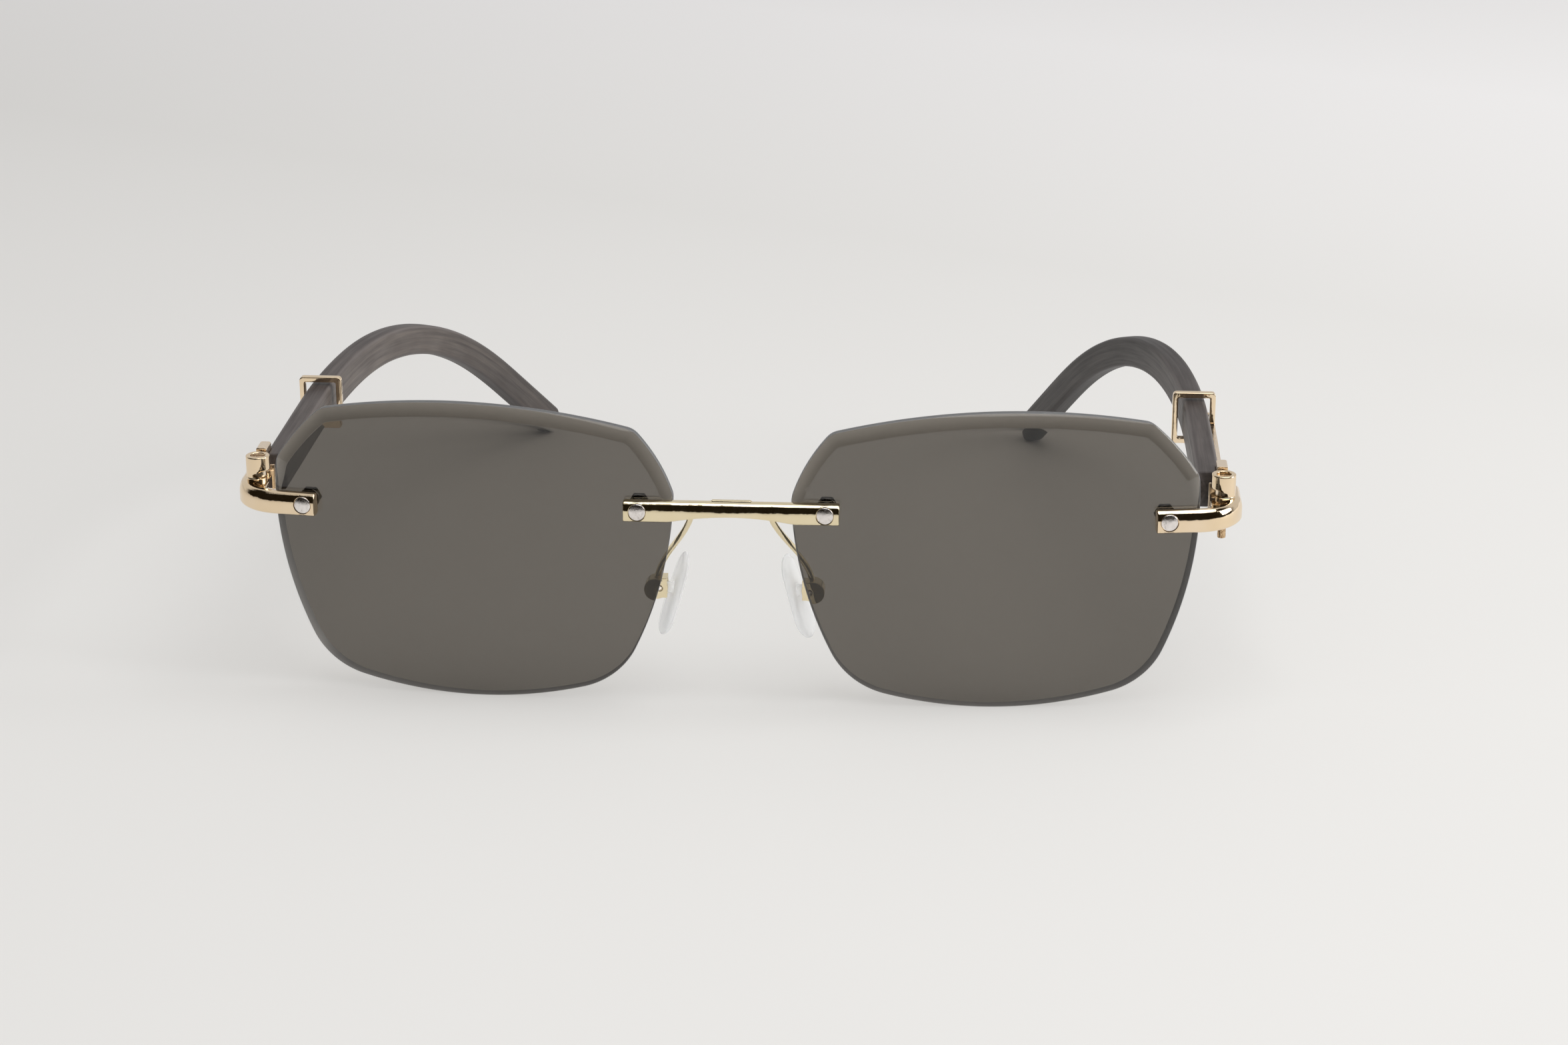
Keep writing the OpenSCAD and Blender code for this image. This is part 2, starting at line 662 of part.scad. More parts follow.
// Temple hinge: a tongue round the hinge screw, an end plate on the wood and a block at its side.
module temple_hinge() {
    color(gold) difference() {
        union() {
            translate([hinge_x, hinge_y, tongue_low]) cylinder(r = tongue_r, h = tongue_h, $fn = fine);
            translate([block_in, hinge_y, tongue_low])
                cube([block_w - 0.1, plate_y - hinge_y + 0.2, tongue_h]);
            translate([hinge_x - plate_in, plate_y, block_low])
                cube([block_out - hinge_x + plate_in, plate_t, tongue_low + tongue_h - block_low]);
            translate([(block_in + block_out) / 2, plate_y, (block_low + block_top) / 2])
                rotate([-90, 0, 0]) linear_extrude(height = block_rear - plate_y)
                    soft_rect(block_w, block_top - block_low, 0.3);
        }
        translate([hinge_x, hinge_y, tongue_low - slack])
            cylinder(r = hinge_screw_r + run_fit, h = tongue_h + 2 * slack, $fn = fine);
        temple_screw_cut(block_out + slack);
    }
}

module temple_screw_cut(from_x) {
    translate([from_x, temple_screw_y, temple_screw_z]) rotate([0, -90, 0])
        cylinder(r = temple_screw_r + fixed_fit, h = from_x - block_out + temple_screw_l + 0.2, $fn = fine);
    translate([block_out + slack, temple_screw_y, temple_screw_z]) rotate([0, -90, 0])
        cylinder(r = temple_screw_head_r + fixed_fit, h = slack + 0.5, $fn = fine);
}

module temple_screw() {
    color(silver) translate([block_out - 0.1, temple_screw_y, temple_screw_z]) rotate([0, -90, 0])
        difference() {
            union() {
                cylinder(r = temple_screw_r, h = temple_screw_l, $fn = fine);
                cylinder(r = temple_screw_head_r, h = 0.4 - seat, $fn = fine);
            }
            translate([-2, -0.12, -1]) cube([4, 0.24, 1.18]);
        }
}

// Flat bar from the block to the loop, outside the wood.
module side_bar() {
    color(gold) translate([bar_out - bar_t, block_rear + seat, bar_top - bar_h])
        cube([bar_t, loop_y - block_rear - 2 * seat, bar_h]);
}

// Loop: a flat frame that goes round the wood.
module temple_loop() {
    color(gold) translate([(loop_in + loop_out) / 2, loop_y + loop_d, loop_mid[2]])
        rotate([90, 0, 0]) linear_extrude(height = loop_d) difference() {
            soft_rect(loop_w, loop_h, 0.6);
            soft_rect(loop_w - 2 * loop_t, loop_h - 2 * loop_t, 0.2);
        }
}

// Peg across the gap between the loop and the wood.
module loop_peg() {
    color(gold) translate([peg_start, loop_mid[1], peg_z])
        rotate([0, 90, 0]) cylinder(r = peg_r, h = loop_out - loop_t - seat - peg_start, $fn = fine);
}

module temple_wood() {
    color(stained) difference() {
        skin(wood_skin);
        translate([peg_start - seat, loop_mid[1], peg_z])
            rotate([0, 90, 0]) cylinder(r = peg_r + fixed_fit, h = 4, $fn = fine);
        translate([block_in - seat, hinge_y, 0]) cube([4, block_rear + seat - hinge_y, 60]);
        temple_screw_cut(block_out + slack);
    }
}

// Pad arm: a bent wire from under the bridge, with a short straight end in the pad box's socket.
module pad_arm() {
    down = [0, 0, pad_pivot[2] + pad_box_r - arm_sink - arm_end[2]];
    bent = [for (i = [0:arm_rings]) arm_ring(i / arm_rings)];
    straight = [for (p = arm_ring(1)) p + down];
    color(gold) skin(concat(bent, [straight]));
}

// Pad box: a round cup with a slot for the pad's tab and cross holes for the pad screw.
module pad_box() {
    color(gold) translate(pad_pivot) difference() {
        union() {
            translate([0.5, pad_box_d / 2, 0])
                rotate([90, 0, 0]) cylinder(r = pad_box_r, h = pad_box_d, $fn = fine);
            translate([-1.1, -pad_box_d / 2, -1.5]) cube([1.6, pad_box_d, 3]);
        }
        translate([-4, -pad_slot / 2, -4]) cube([4 + tab_r + side_gap, pad_slot, 5.2]);
        rotate([90, 0, 0]) cylinder(r = pad_screw_r + fixed_fit, h = 8, center = true, $fn = fine);
        translate([arm_end[0] - pad_pivot[0], 0, pad_box_r - arm_sink - seat])
            cylinder(r = arm_r + fixed_fit, h = slack, $fn = fine);
    }
}

// Pad screw: head behind the box, pointed end in front of it.
module pad_screw() {
    half = pad_box_d / 2 + seat;
    color(silver) translate(pad_pivot) {
        rotate([90, 0, 0]) cylinder(r = pad_screw_r, h = 2 * half, center = true, $fn = fine);
        translate([0, half, 0]) rotate([-90, 0, 0]) cylinder(r = 0.8, h = 0.4, $fn = fine);
        translate([0, -half, 0])
            rotate([90, 0, 0]) cylinder(r1 = pad_screw_r, r2 = 0.08, h = 0.6, $fn = fine);
    }
}

// Nose pad: a soft clear pad with a tab that hangs on the pad screw.
module nose_pad() {
    color(clear) difference() {
        union() {
            translate(pad_mid) rotate([0, -pad_lean, -pad_splay]) rotate([90, 0, 90])
                linear_extrude(height = pad_t, center = true) hull() {
                    translate([0, pad_h / 2 - pad_top_r]) circle(r = pad_top_r, $fn = 32);
                    translate([0, -pad_h / 2 + pad_low_r]) circle(r = pad_low_r, $fn = 32);
                }
            translate(pad_pivot) {
                rotate([90, 0, 0]) cylinder(r = tab_r, h = tab_t, center = true, $fn = fine);
                translate([-1.9, -tab_t / 2, -tab_r]) cube([1.9, tab_t, 2 * tab_r - 0.4]);
            }
        }
        translate(pad_pivot)
            rotate([90, 0, 0]) cylinder(r = pad_screw_r + run_fit, h = 8, center = true, $fn = fine);
    }
}

bridge();
place(-1) lens();  // lens_left
place(1) lens();  // lens_right
place(-1) mount_screw(inner_x, mount_in_z, bridge_d);  // inner_screw_left
place(1) mount_screw(inner_x, mount_in_z, bridge_d);  // inner_screw_right
place(-1) mount_screw(outer_x, mount_out_z, end_t);  // outer_screw_left
place(1) mount_screw(outer_x, mount_out_z, end_t);  // outer_screw_right
place(-1) bush(inner_x, mount_in_z);  // inner_bush_left
place(1) bush(inner_x, mount_in_z);  // inner_bush_right
place(-1) bush(outer_x, mount_out_z);  // outer_bush_left
place(1) bush(outer_x, mount_out_z);  // outer_bush_right
place(-1) washer(inner_x, mount_in_z);  // inner_washer_left
place(1) washer(inner_x, mount_in_z);  // inner_washer_right
place(-1) washer(outer_x, mount_out_z);  // outer_washer_left
place(1) washer(outer_x, mount_out_z);  // outer_washer_right
place(-1) nut(inner_x, mount_in_z);  // inner_nut_left
place(1) nut(inner_x, mount_in_z);  // inner_nut_right
place(-1) nut(outer_x, mount_out_z);  // outer_nut_left
place(1) nut(outer_x, mount_out_z);  // outer_nut_right
place(-1) end_piece();  // end_piece_left
place(1) end_piece();  // end_piece_right
place(-1) hinge_screw(left_screw_out);  // hinge_screw_left
place(1) hinge_screw(right_screw_out);  // hinge_screw_right
place(-1) pad_arm();  // pad_arm_left
place(1) pad_arm();  // pad_arm_right
place(-1) pad_box();  // pad_box_left
place(1) pad_box();  // pad_box_right
place(-1) pad_screw();  // pad_screw_left
place(1) pad_screw();  // pad_screw_right
place(-1) nose_pad();  // nose_pad_left
place(1) nose_pad();  // nose_pad_right
place(-1) temple_hinge();  // temple_hinge_left
place(1) temple_hinge();  // temple_hinge_right
place(-1) temple_screw();  // temple_screw_left
place(1) temple_screw();  // temple_screw_right
place(-1) side_bar();  // side_bar_left
place(1) side_bar();  // side_bar_right
place(-1) temple_loop();  // temple_loop_left
place(1) temple_loop();  // temple_loop_right
place(-1) loop_peg();  // loop_peg_left
place(1) loop_peg();  // loop_peg_right
place(-1) temple_wood();  // temple_wood_left
place(1) temple_wood();  // temple_wood_right
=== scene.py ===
import json
import math

import bmesh
import bpy
import numpy as np
from mathutils import Matrix, Vector


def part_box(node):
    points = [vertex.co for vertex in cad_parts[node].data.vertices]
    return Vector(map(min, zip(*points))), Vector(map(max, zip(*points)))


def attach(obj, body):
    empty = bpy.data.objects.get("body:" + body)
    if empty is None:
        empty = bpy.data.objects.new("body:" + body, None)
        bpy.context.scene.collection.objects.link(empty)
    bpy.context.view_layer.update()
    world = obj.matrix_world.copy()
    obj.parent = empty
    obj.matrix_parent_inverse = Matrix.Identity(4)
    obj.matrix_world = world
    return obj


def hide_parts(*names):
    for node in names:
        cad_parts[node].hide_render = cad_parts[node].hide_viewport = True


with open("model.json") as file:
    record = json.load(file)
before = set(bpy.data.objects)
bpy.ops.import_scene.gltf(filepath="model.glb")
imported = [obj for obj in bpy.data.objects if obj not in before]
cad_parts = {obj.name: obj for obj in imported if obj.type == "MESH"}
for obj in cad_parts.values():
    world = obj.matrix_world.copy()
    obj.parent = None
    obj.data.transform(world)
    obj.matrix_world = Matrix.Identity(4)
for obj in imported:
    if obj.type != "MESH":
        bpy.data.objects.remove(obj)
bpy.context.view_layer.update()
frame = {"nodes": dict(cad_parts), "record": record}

# Sizes are millimetres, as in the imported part. While a piece is made, y is measured from the
# foremost point of the lenses, and the piece is moved into the shared frame at the end.
MM = 0.001
HINGE_X, HINGE_Y = 69.9084, 8.79307
screw_low, screw_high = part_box("hinge_screw_right")
LENS_Y = (screw_low.y + screw_high.y) / 2 / MM - HINGE_Y

record = frame["record"]
BODY = {n: body for body, members in record["behaviour"]["bodies"].items() for n in members}
SIDES = (("right", 1), ("left", -1))

# Lens
LENS_W, LENS_H, LENS_T, NASAL_X = 58.0, 44.7, 1.8, 8.4
TEMPORAL_X = NASAL_X + LENS_W
CURVE_R, CURVE_X, CURVE_Z = 300.0, 20.1, 24.05
FACET_W, FACET_SLOPE = 1.8, 24.0
# Heights between which each facet grows to its full width
TEMPORAL_FACET, NASAL_FACET = (26.5, LENS_H - 9.4), (27.0, LENS_H - 11.2)
# Mounts: x and z of the screws, and the depth of the bar in front of the lens
INNER, OUTER = (13.4, 30.1, 2.0), (61.8, 29.05, 1.85)
BAR_GAP, SEAT = 0.09, 0.06
SCREW_R, BUSH_R, WASHER_R, WASHER_T, NUT_T, BORE_GAP = 0.6, 0.97, 1.5, 0.35, 0.9, 0.03
HEAD_R, HEAD_DOME, HEAD_PROUD, HEAD_DEEP = 1.25, 0.3, 0.2, 0.44
POCKET_R, POCKET_DEEP = 1.31, 0.5
# Bars
BRIDGE_FRONT, BRIDGE_TOP = -1.95415, 31.6
BEND_X, BEND_Y, BEND_R, END_SLANT = 65.3084, 8.99307, 7.4, 8.2
END_TOP, SLOT_TOP, BARREL_TOP = 30.7, 31.85, 34.0
BLOCK_IN, BLOCK_REAR = 69.0084, 13.9431
# Crowned front faces: height of the crown, how far its top leans back, depth that bends with it
BRIDGE_CROWN, END_CROWN = (1.8, 0.475, 2.0), (1.75, 0.56, 1.3)
# Temple
WOOD_START = (67.8584, 11.3931, 30.5)
WOOD_L, WOOD_W = 125.1, 3.5
H_FRONT, H_LOOP, H_TIP, LOOP_AT = 5.4, 5.6, 4.7, 31.0
RISE, TOE_FIRST, TOE_IN, TOE_START, TOE_END = 1.3, 0.8, 22.5, 18.0, 89.0
EAR_DROP, DROP_START, DROP_END = 38.4, 43.5, 108.0
# Nose pads
PAD_PIVOT = (10.9, 4.83634, 16.5)
PAD_MID = (9.2, 6.43634, 14.75)
PAD_H, PAD_LOW_R, PAD_TOP_R, PAD_T, PAD_LEAN, PAD_SPLAY = 13.0, 3.4, 2.6, 1.4, 18.0, 12.0
ARM_START, ARM_END, WIRE_R, SOCKET_DEEP = (5.8, -0.954148, 29.12), (11.2, PAD_PIVOT[1], 18.3), 0.45, 0.34
# Camera: angles in degrees, distance, the point it looks at (x, z) and its focal length
AZIMUTH, ELEVATION, ROLL = 3.877, 20.3, -0.167
DISTANCE, AIM_X, AIM_Z, FOCAL, FILM_W = 473.905, 7.454, 28.394, 76.53, 36


# Camera: the photograph's, found from the lens outlines, screws, bars and temples

def add_camera():
    azimuth, elevation, roll = (math.radians(a) for a in (AZIMUTH, ELEVATION, ROLL))
    back = Vector((
        math.sin(azimuth) * math.cos(elevation),
        -math.cos(azimuth) * math.cos(elevation),
        math.sin(elevation),
    ))
    level = Vector((math.cos(azimuth), math.sin(azimuth), 0))
    above = back.cross(level)
    right = math.cos(roll) * level + math.sin(roll) * above
    up = math.cos(roll) * above - math.sin(roll) * level
    data = bpy.data.cameras.new("photo_camera")
    data.lens, data.sensor_width, data.sensor_fit = FOCAL, FILM_W, "HORIZONTAL"
    data.clip_start, data.clip_end = 0.01, 20
    camera = bpy.data.objects.new("photo_camera", data)
    bpy.context.scene.collection.objects.link(camera)
    place = Matrix((right, up, back)).transposed().to_4x4()
    place.translation = (Vector((AIM_X, LENS_Y, AIM_Z)) + back * DISTANCE) * MM
    camera.matrix_world = place
    bpy.context.scene.camera = camera


# Materials

def linear(code):
    """An sRGB hex colour as the linear values that shaders take."""
    parts = [int(code[i:i + 2], 16) / 255 for i in (1, 3, 5)]
    return [c / 12.92 if c <= 0.04045 else ((c + 0.055) / 1.055) ** 2.4 for c in parts] + [1.0]


def add_node(tree, kind, settings=None, links=None):
    """Adds a node. Settings are its own properties or the values of its inputs."""
    made = tree.nodes.new(kind)
    for key, value in (settings or {}).items():
        if key == "stops":
            ramp = made.color_ramp
            while len(ramp.elements) < len(value):
                ramp.elements.new(0.5)
            for stop, (place, colour) in zip(ramp.elements, value):
                stop.position, stop.color = place, colour
        elif isinstance(key, str) and key.islower() and hasattr(made, key):
            setattr(made, key, value)
        else:
            made.inputs[key].default_value = value
    for key, output in (links or {}).items():
        tree.links.new(made.inputs[key], output)
    return made


def new_material(name):
    material = bpy.data.materials.new(name)
    material.use_nodes = True
    material.node_tree.nodes.clear()
    return material, material.node_tree


def object_place(tree):
    """Places on the object, in metres."""
    return add_node(tree, "ShaderNodeTexCoord").outputs["Object"]


def attribute(tree, name, kind="Fac"):
    """What the mesh stores at each point or face under a name."""
    return add_node(tree, "ShaderNodeAttribute", {"attribute_name": name}).outputs[kind]


def noise(tree, place, scale, detail, roughness=0.5):
    """Cloudy noise between 0 and 1, in patches of about one over the scale."""
    made = add_node(tree, "ShaderNodeTexNoise",
                    {"Scale": scale, "Detail": detail, "Roughness": roughness}, {"Vector": place})
    return made.outputs["Fac"]


def mapped(tree, place, settings):
    return add_node(tree, "ShaderNodeMapping", settings, {"Vector": place}).outputs[0]


def spread(tree, value, low, high, first, last, how="LINEAR"):
    """Carries the range from low to high over to the one from first to last."""
    made = add_node(tree, "ShaderNodeMapRange",
                    {"interpolation_type": how, 1: low, 2: high, 3: first, 4: last}, {0: value})
    return made.outputs[0]


def ramp(tree, value, *stops):
    """Colours between stops, each a value and a hex colour."""
    made = add_node(tree, "ShaderNodeValToRGB",
                    {"stops": [(at, linear(code)) for at, code in stops]}, {"Fac": value})
    return made.outputs[0]


def blend(tree, share, first, second, how="MIX"):
    """Mixes two colours, each a hex colour or the output of a node."""
    made = add_node(tree, "ShaderNodeMix", {"data_type": "RGBA", "blend_type": how}, {0: share})
    for key, colour in ((6, first), (7, second)):
        if isinstance(colour, str):
            made.inputs[key].default_value = linear(colour)
        else:
            tree.links.new(made.inputs[key], colour)
    return made.outputs[2]


def calculate(tree, how, first, second):
    """One step of arithmetic on two outputs, kept between 0 and 1."""
    made = add_node(tree, "ShaderNodeMath", {"operation": how, "use_clamp": True}, {0: first, 1: second})
    return made.outputs[0]


def relief(tree, height, strength, depth, under=None):
    """Bumps of a depth in millimetres. Under is a broader relief that they lie on."""
    links = {"Height": height, "Normal": under} if under else {"Height": height}
    made = add_node(tree, "ShaderNodeBump", {"Strength": strength, "Distance": depth * MM}, links)
    return made.outputs[0]


def show(tree, shader):
    return add_node(tree, "ShaderNodeOutputMaterial", {}, {"Surface": shader.outputs[0]})


def gold_plating(name, light, deep, waves=0.15, haze=(0.04, 0.12)):
    """Polished gold plating: a mirror with long waves, a faint orange peel and patches of haze."""
    material, tree = new_material(name)
    place = object_place(tree)
    # The colour drifts over about 4 mm.
    colour = blend(tree, noise(tree, place, 250.0, 2.0), light, deep)
    # Haze lies in patches of about 0.6 mm.
    rough = spread(tree, noise(tree, place, 1600.0, 4.0, 0.65), 0.35, 0.75, *haze)
    # Waves about 5 mm long bend the lines of light along the bars.
    broad = relief(tree, noise(tree, place, 200.0, 1.0), 1.0, waves)
    # The orange peel is about 1.2 mm wide.
    peel = relief(tree, noise(tree, place, 800.0, 2.0), 1.0, 0.03, broad)
    show(tree, add_node(tree, "ShaderNodeBsdfPrincipled", {"Metallic": 1.0},
                        {"Base Color": colour, "Roughness": rough, "Normal": peel}))
    return material


def polished_steel(name):
    """Stainless steel: bright, with fine slanting scuffs about 0.5 mm wide, some of them dark."""
    material, tree = new_material(name)
    turned = mapped(tree, object_place(tree), {"Rotation": (0, 0.9, 0), "Scale": (1, 1, 0.5)})
    scuff = noise(tree, turned, 1900.0, 6.0, 0.7)
    colour = ramp(tree, scuff, (0.3, "#9a9592"), (0.42, "#e4deda"), (0.7, "#f6f1ee"))
    rough = spread(tree, scuff, 0.35, 0.65, 0.3, 0.12)
    show(tree, add_node(tree, "ShaderNodeBsdfPrincipled", {"Metallic": 1.0},
                        {"Base Color": colour, "Roughness": rough,
                         "Normal": relief(tree, scuff, 0.9, 0.06)}))
    return material


def patchy_metal(name, metallic, scale, roughness, stops, dull):
    """Metal with small patches that differ in colour and in gloss."""
    material, tree = new_material(name)
    patch = noise(tree, object_place(tree), scale, 3.0, roughness)
    show(tree, add_node(tree, "ShaderNodeBsdfPrincipled", {"Metallic": metallic},
                        {"Base Color": ramp(tree, patch, *stops),
                         "Roughness": spread(tree, patch, 0.3, 0.7, *dull)}))
    return material


def see_through(name, tint, ior, roughness, dust, milky=0.0, dye=None, ground=None):
    """Clear plastic that bends light. Its shadow stays light, because shadow and bounced rays
    pass straight through."""
    material, tree = new_material(name)
    # Haze lies in patches of about 1 mm.
    cloud = noise(tree, object_place(tree), 1000.0, 5.0, 0.7)
    rough = spread(tree, cloud, 0.45, 0.8, roughness, roughness + dust)
    shader = add_node(tree, "ShaderNodeBsdfPrincipled", {"Transmission Weight": 1.0 - milky, "IOR": ior},
                      {"Base Color": blend(tree, cloud, *tint), "Roughness": rough})
    path = add_node(tree, "ShaderNodeLightPath").outputs
    either = calculate(tree, "MAXIMUM", path["Is Shadow Ray"], path["Is Diffuse Ray"])
    if ground:
        # The edge and the drilled holes are frosted and a little grey.
        frost = add_node(tree, "ShaderNodeBsdfPrincipled",
                         {"Base Color": linear(ground), "Transmission Weight": 0.75, "IOR": ior,
                          "Roughness": 0.45})
        shader = add_node(tree, "ShaderNodeMixShader", {},
                          {0: attribute(tree, "ground"), 1: shader.outputs[0], 2: frost.outputs[0]})
    passing = add_node(tree, "ShaderNodeBsdfTransparent")
    output = show(tree, add_node(tree, "ShaderNodeMixShader", {},
                                 {0: either, 1: shader.outputs[0], 2: passing.outputs[0]}))
    if dye:
        # Long ways through dyed plastic come out darker. Shadow and bounced rays meet a small
        # share of the dye, so that the lenses' shadow is about as light as the photograph's.
        colour, density = dye
        absorbed = add_node(tree, "ShaderNodeVolumeAbsorption", {"Color": colour},
                            {"Density": spread(tree, either, 0.0, 1.0, density, density * 0.14)})
        tree.links.new(output.inputs["Volume"], absorbed.outputs[0])
    return material


def stained_wood(name):
    """Hardwood stained dark grey and satin varnished: the grain runs along the temple, the top
    and bottom edges are darker than the broad sides, and the corners are lighter."""
    material, tree = new_material(name)
    # The grain attribute is in millimetres: along, across, up.
    place = attribute(tree, "grain", "Vector")
    # Streaks are 0.5 mm wide and 15 mm long, pores 0.15 mm and 2 mm, blotches 2.5 mm and 5 mm.
    streak = noise(tree, mapped(tree, place, {"Scale": (0.07, 2.0, 2.0)}), 1.0, 4.0, 0.6)
    pore = noise(tree, mapped(tree, place, {"Scale": (0.5, 6.5, 6.5)}), 1.0, 2.0)
    blotch = noise(tree, mapped(tree, place, {"Scale": (0.2, 0.4, 0.4)}), 1.0, 2.0)
    side = ramp(tree, streak, (0.3, "#4d4644"), (0.5, "#605955"), (0.72, "#6f665f"))
    top = ramp(tree, streak, (0.3, "#403938"), (0.55, "#4d4644"), (0.75, "#59504d"))
    colour = blend(tree, attribute(tree, "edge"), side, top)
    colour = blend(tree, spread(tree, blotch, 0.35, 0.7, 0.0, 0.35), colour, "#b9aaa2", "MULTIPLY")
    # The rounded corners are made lighter.
    corner_lightness = add_node(tree, "ShaderNodeMath", {"operation": "MULTIPLY", 1: 0.45},
                      {0: attribute(tree, "corner")})
    colour = blend(tree, corner_lightness.outputs[0], colour, "#7d7673")
    # Painted shade: each temple is darker toward its ear end.
    colour = blend(tree, attribute(tree, "soak"), colour, "#8a8685", "MULTIPLY")
    rough = spread(tree, streak, 0.3, 0.7, 0.55, 0.42)
    show(tree, add_node(tree, "ShaderNodeBsdfPrincipled",
                        {"IOR": 1.42, "Coat Weight": 0.06, "Coat Roughness": 0.3},
                        {"Base Color": colour, "Roughness": rough,
                         "Normal": relief(tree, pore, 0.25, 0.04)}))
    return material


BRIDGE_GOLD = gold_plating("pale_gold_plated_polished", "#f2e5c6", "#e8d8b0")
ROSE_GOLD = gold_plating("light_gold_plated_polished", "#f7e3c8", "#ecd4ae")
SATIN_GOLD = gold_plating("light_gold_plated_satin", "#f6e6d2", "#efdcc2", waves=0.02, haze=(0.2, 0.3))
STEEL = polished_steel("stainless_steel_polished")
# Brass for the hinge screws: patchy, and its darker patches stand partly for painted shade in the screw
# holes.
BRASS = patchy_metal("brass_screw_worn", 1.0, 3500.0, 0.7,
                     ((0.35, "#8a6a48"), (0.6, "#dcbd94")), dull=(0.4, 0.18))
BLACK_NICKEL = patchy_metal("black_nickel_plated", 0.8, 2500.0, 0.5,
                            ((0.4, "#242220"), (0.75, "#4a453f")), dull=(0.22, 0.4))
LENS_PLASTIC = see_through("nylon_lens_tinted_polished", ("#d2cdc5", "#cfcac2"), 1.53, 0.0, 0.012,
                           dye=((0.065, 0.037, 0.0, 1.0), 810.0), ground="#8d8f94")
CLEAR_PC = see_through("clear_polycarbonate_moulded", ("#f4f6f6", "#eceff0"), 1.58, 0.03, 0.05)
SILICONE = see_through("clear_silicone_moulded", ("#ffffff", "#f8fafc"), 1.41, 0.1, 0.15, milky=0.4)
WOOD = stained_wood("hardwood_stained_satin")


# Shapes

def skin(rings, closed=False):
    """Faces over rings of points. The ends are filled with fans, or joined if closed."""
    rings = [np.asarray(ring, float) for ring in rings]
    count, size = len(rings), len(rings[0])
    points = [tuple(p) for ring in rings for p in ring]
    faces = []
    for i in range(count if closed else count - 1):
        a, b = i * size, (i + 1) % count * size
        for k in range(size):
            n = (k + 1) % size
            faces.append((a + k, a + n, b + n, b + k))
    if not closed:
        for start, ring in ((0, rings[0]), ((count - 1) * size, rings[-1])):
            points.append(tuple(ring.mean(0)))
            faces += [(start + k, start + (k + 1) % size, len(points) - 1) for k in range(size)]
    return points, faces


def joined(*shapes):
    points, faces = [], []
    for more, more_faces in shapes:
        base = len(points)
        points += [tuple(p) for p in more]
        faces += [tuple(i + base for i in face) for face in more_faces]
    return points, faces


def rounded(corners, cuts, steps=4, closed=True):
    """A line with soft corners. Each cut is how far the curve starts before and ends after one."""
    line, count = [], len(corners)
    for i, corner in enumerate(corners):
        p = np.array(corner, float)
        before, after = cuts[i] if hasattr(cuts[i], "__len__") else (cuts[i], cuts[i])
        if (not closed and i in (0, count - 1)) or before == 0:
            line.append(p)
            continue
        a, b = np.array(corners[i - 1], float), np.array(corners[(i + 1) % count], float)
        start = p + (a - p) / np.linalg.norm(a - p) * before
        end = p + (b - p) / np.linalg.norm(b - p) * after
        for t in np.linspace(0, 1, steps + 1):
            line.append((1 - t) ** 2 * start + 2 * t * (1 - t) * p + t * t * end)
    return np.array(line)


def lathe(profile, origin, axis, segments=48, closed=False):
    """Turns a profile of (radius, height) round an axis. The least radius keeps points apart."""
    axis = Vector(axis).normalized()
    across = axis.orthogonal().normalized()
    other = axis.cross(across)
    turns = [2 * math.pi * k / segments for k in range(segments)]
    spokes = [across * math.cos(t) + other * math.sin(t) for t in turns]
    least = 0.002
    return skin([[tuple(Vector(origin) + axis * h + spoke * max(r, least)) for spoke in spokes]
                 for r, h in profile], closed)


def lens_y(x, z):
    """The lens's front face: a sphere whose middle lies behind it."""
    return CURVE_R - np.sqrt(CURVE_R ** 2 - (x - CURVE_X) ** 2 - (z - CURVE_Z) ** 2)


def mount(x, z):
    """Origin on the lens's front face and the direction through the lens, for a screw."""
    lean = math.asin((x - CURVE_X) / CURVE_R)
    return (x, lens_y(x, z), z), (-math.sin(lean), math.cos(lean), 0)


def mesh_object(name, shape, side=1):
    """An object from points in millimetres, mirrored for the left, in the shared frame."""
    points, faces = shape
    placed = (np.array(points, float) * [side, 1, 1] + [0, LENS_Y, 0]) * MM
    mesh = bpy.data.meshes.new(name)
    mesh.from_pydata(placed.tolist(), [], [list(map(int, f)) for f in faces])
    work = bmesh.new()
    work.from_mesh(mesh)
    bmesh.ops.recalc_face_normals(work, faces=work.faces)
    work.to_mesh(mesh)
    work.free()
    made = bpy.data.objects.new(name, mesh)
    bpy.context.scene.collection.objects.link(made)
    return made


def dress(made, node, material, crease=None):
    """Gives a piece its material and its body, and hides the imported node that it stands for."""
    made.data.materials.clear()
    made.data.materials.append(material)
    made.data.shade_smooth()
    if crease:
        made.data.set_sharp_from_angle(angle=math.radians(crease))
    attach(made, BODY[node])
    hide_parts(node)
    return made


def evaluated(made):
    """The mesh of an object with its modifiers."""
    return bpy.data.meshes.new_from_object(made.evaluated_get(bpy.context.evaluated_depsgraph_get()))


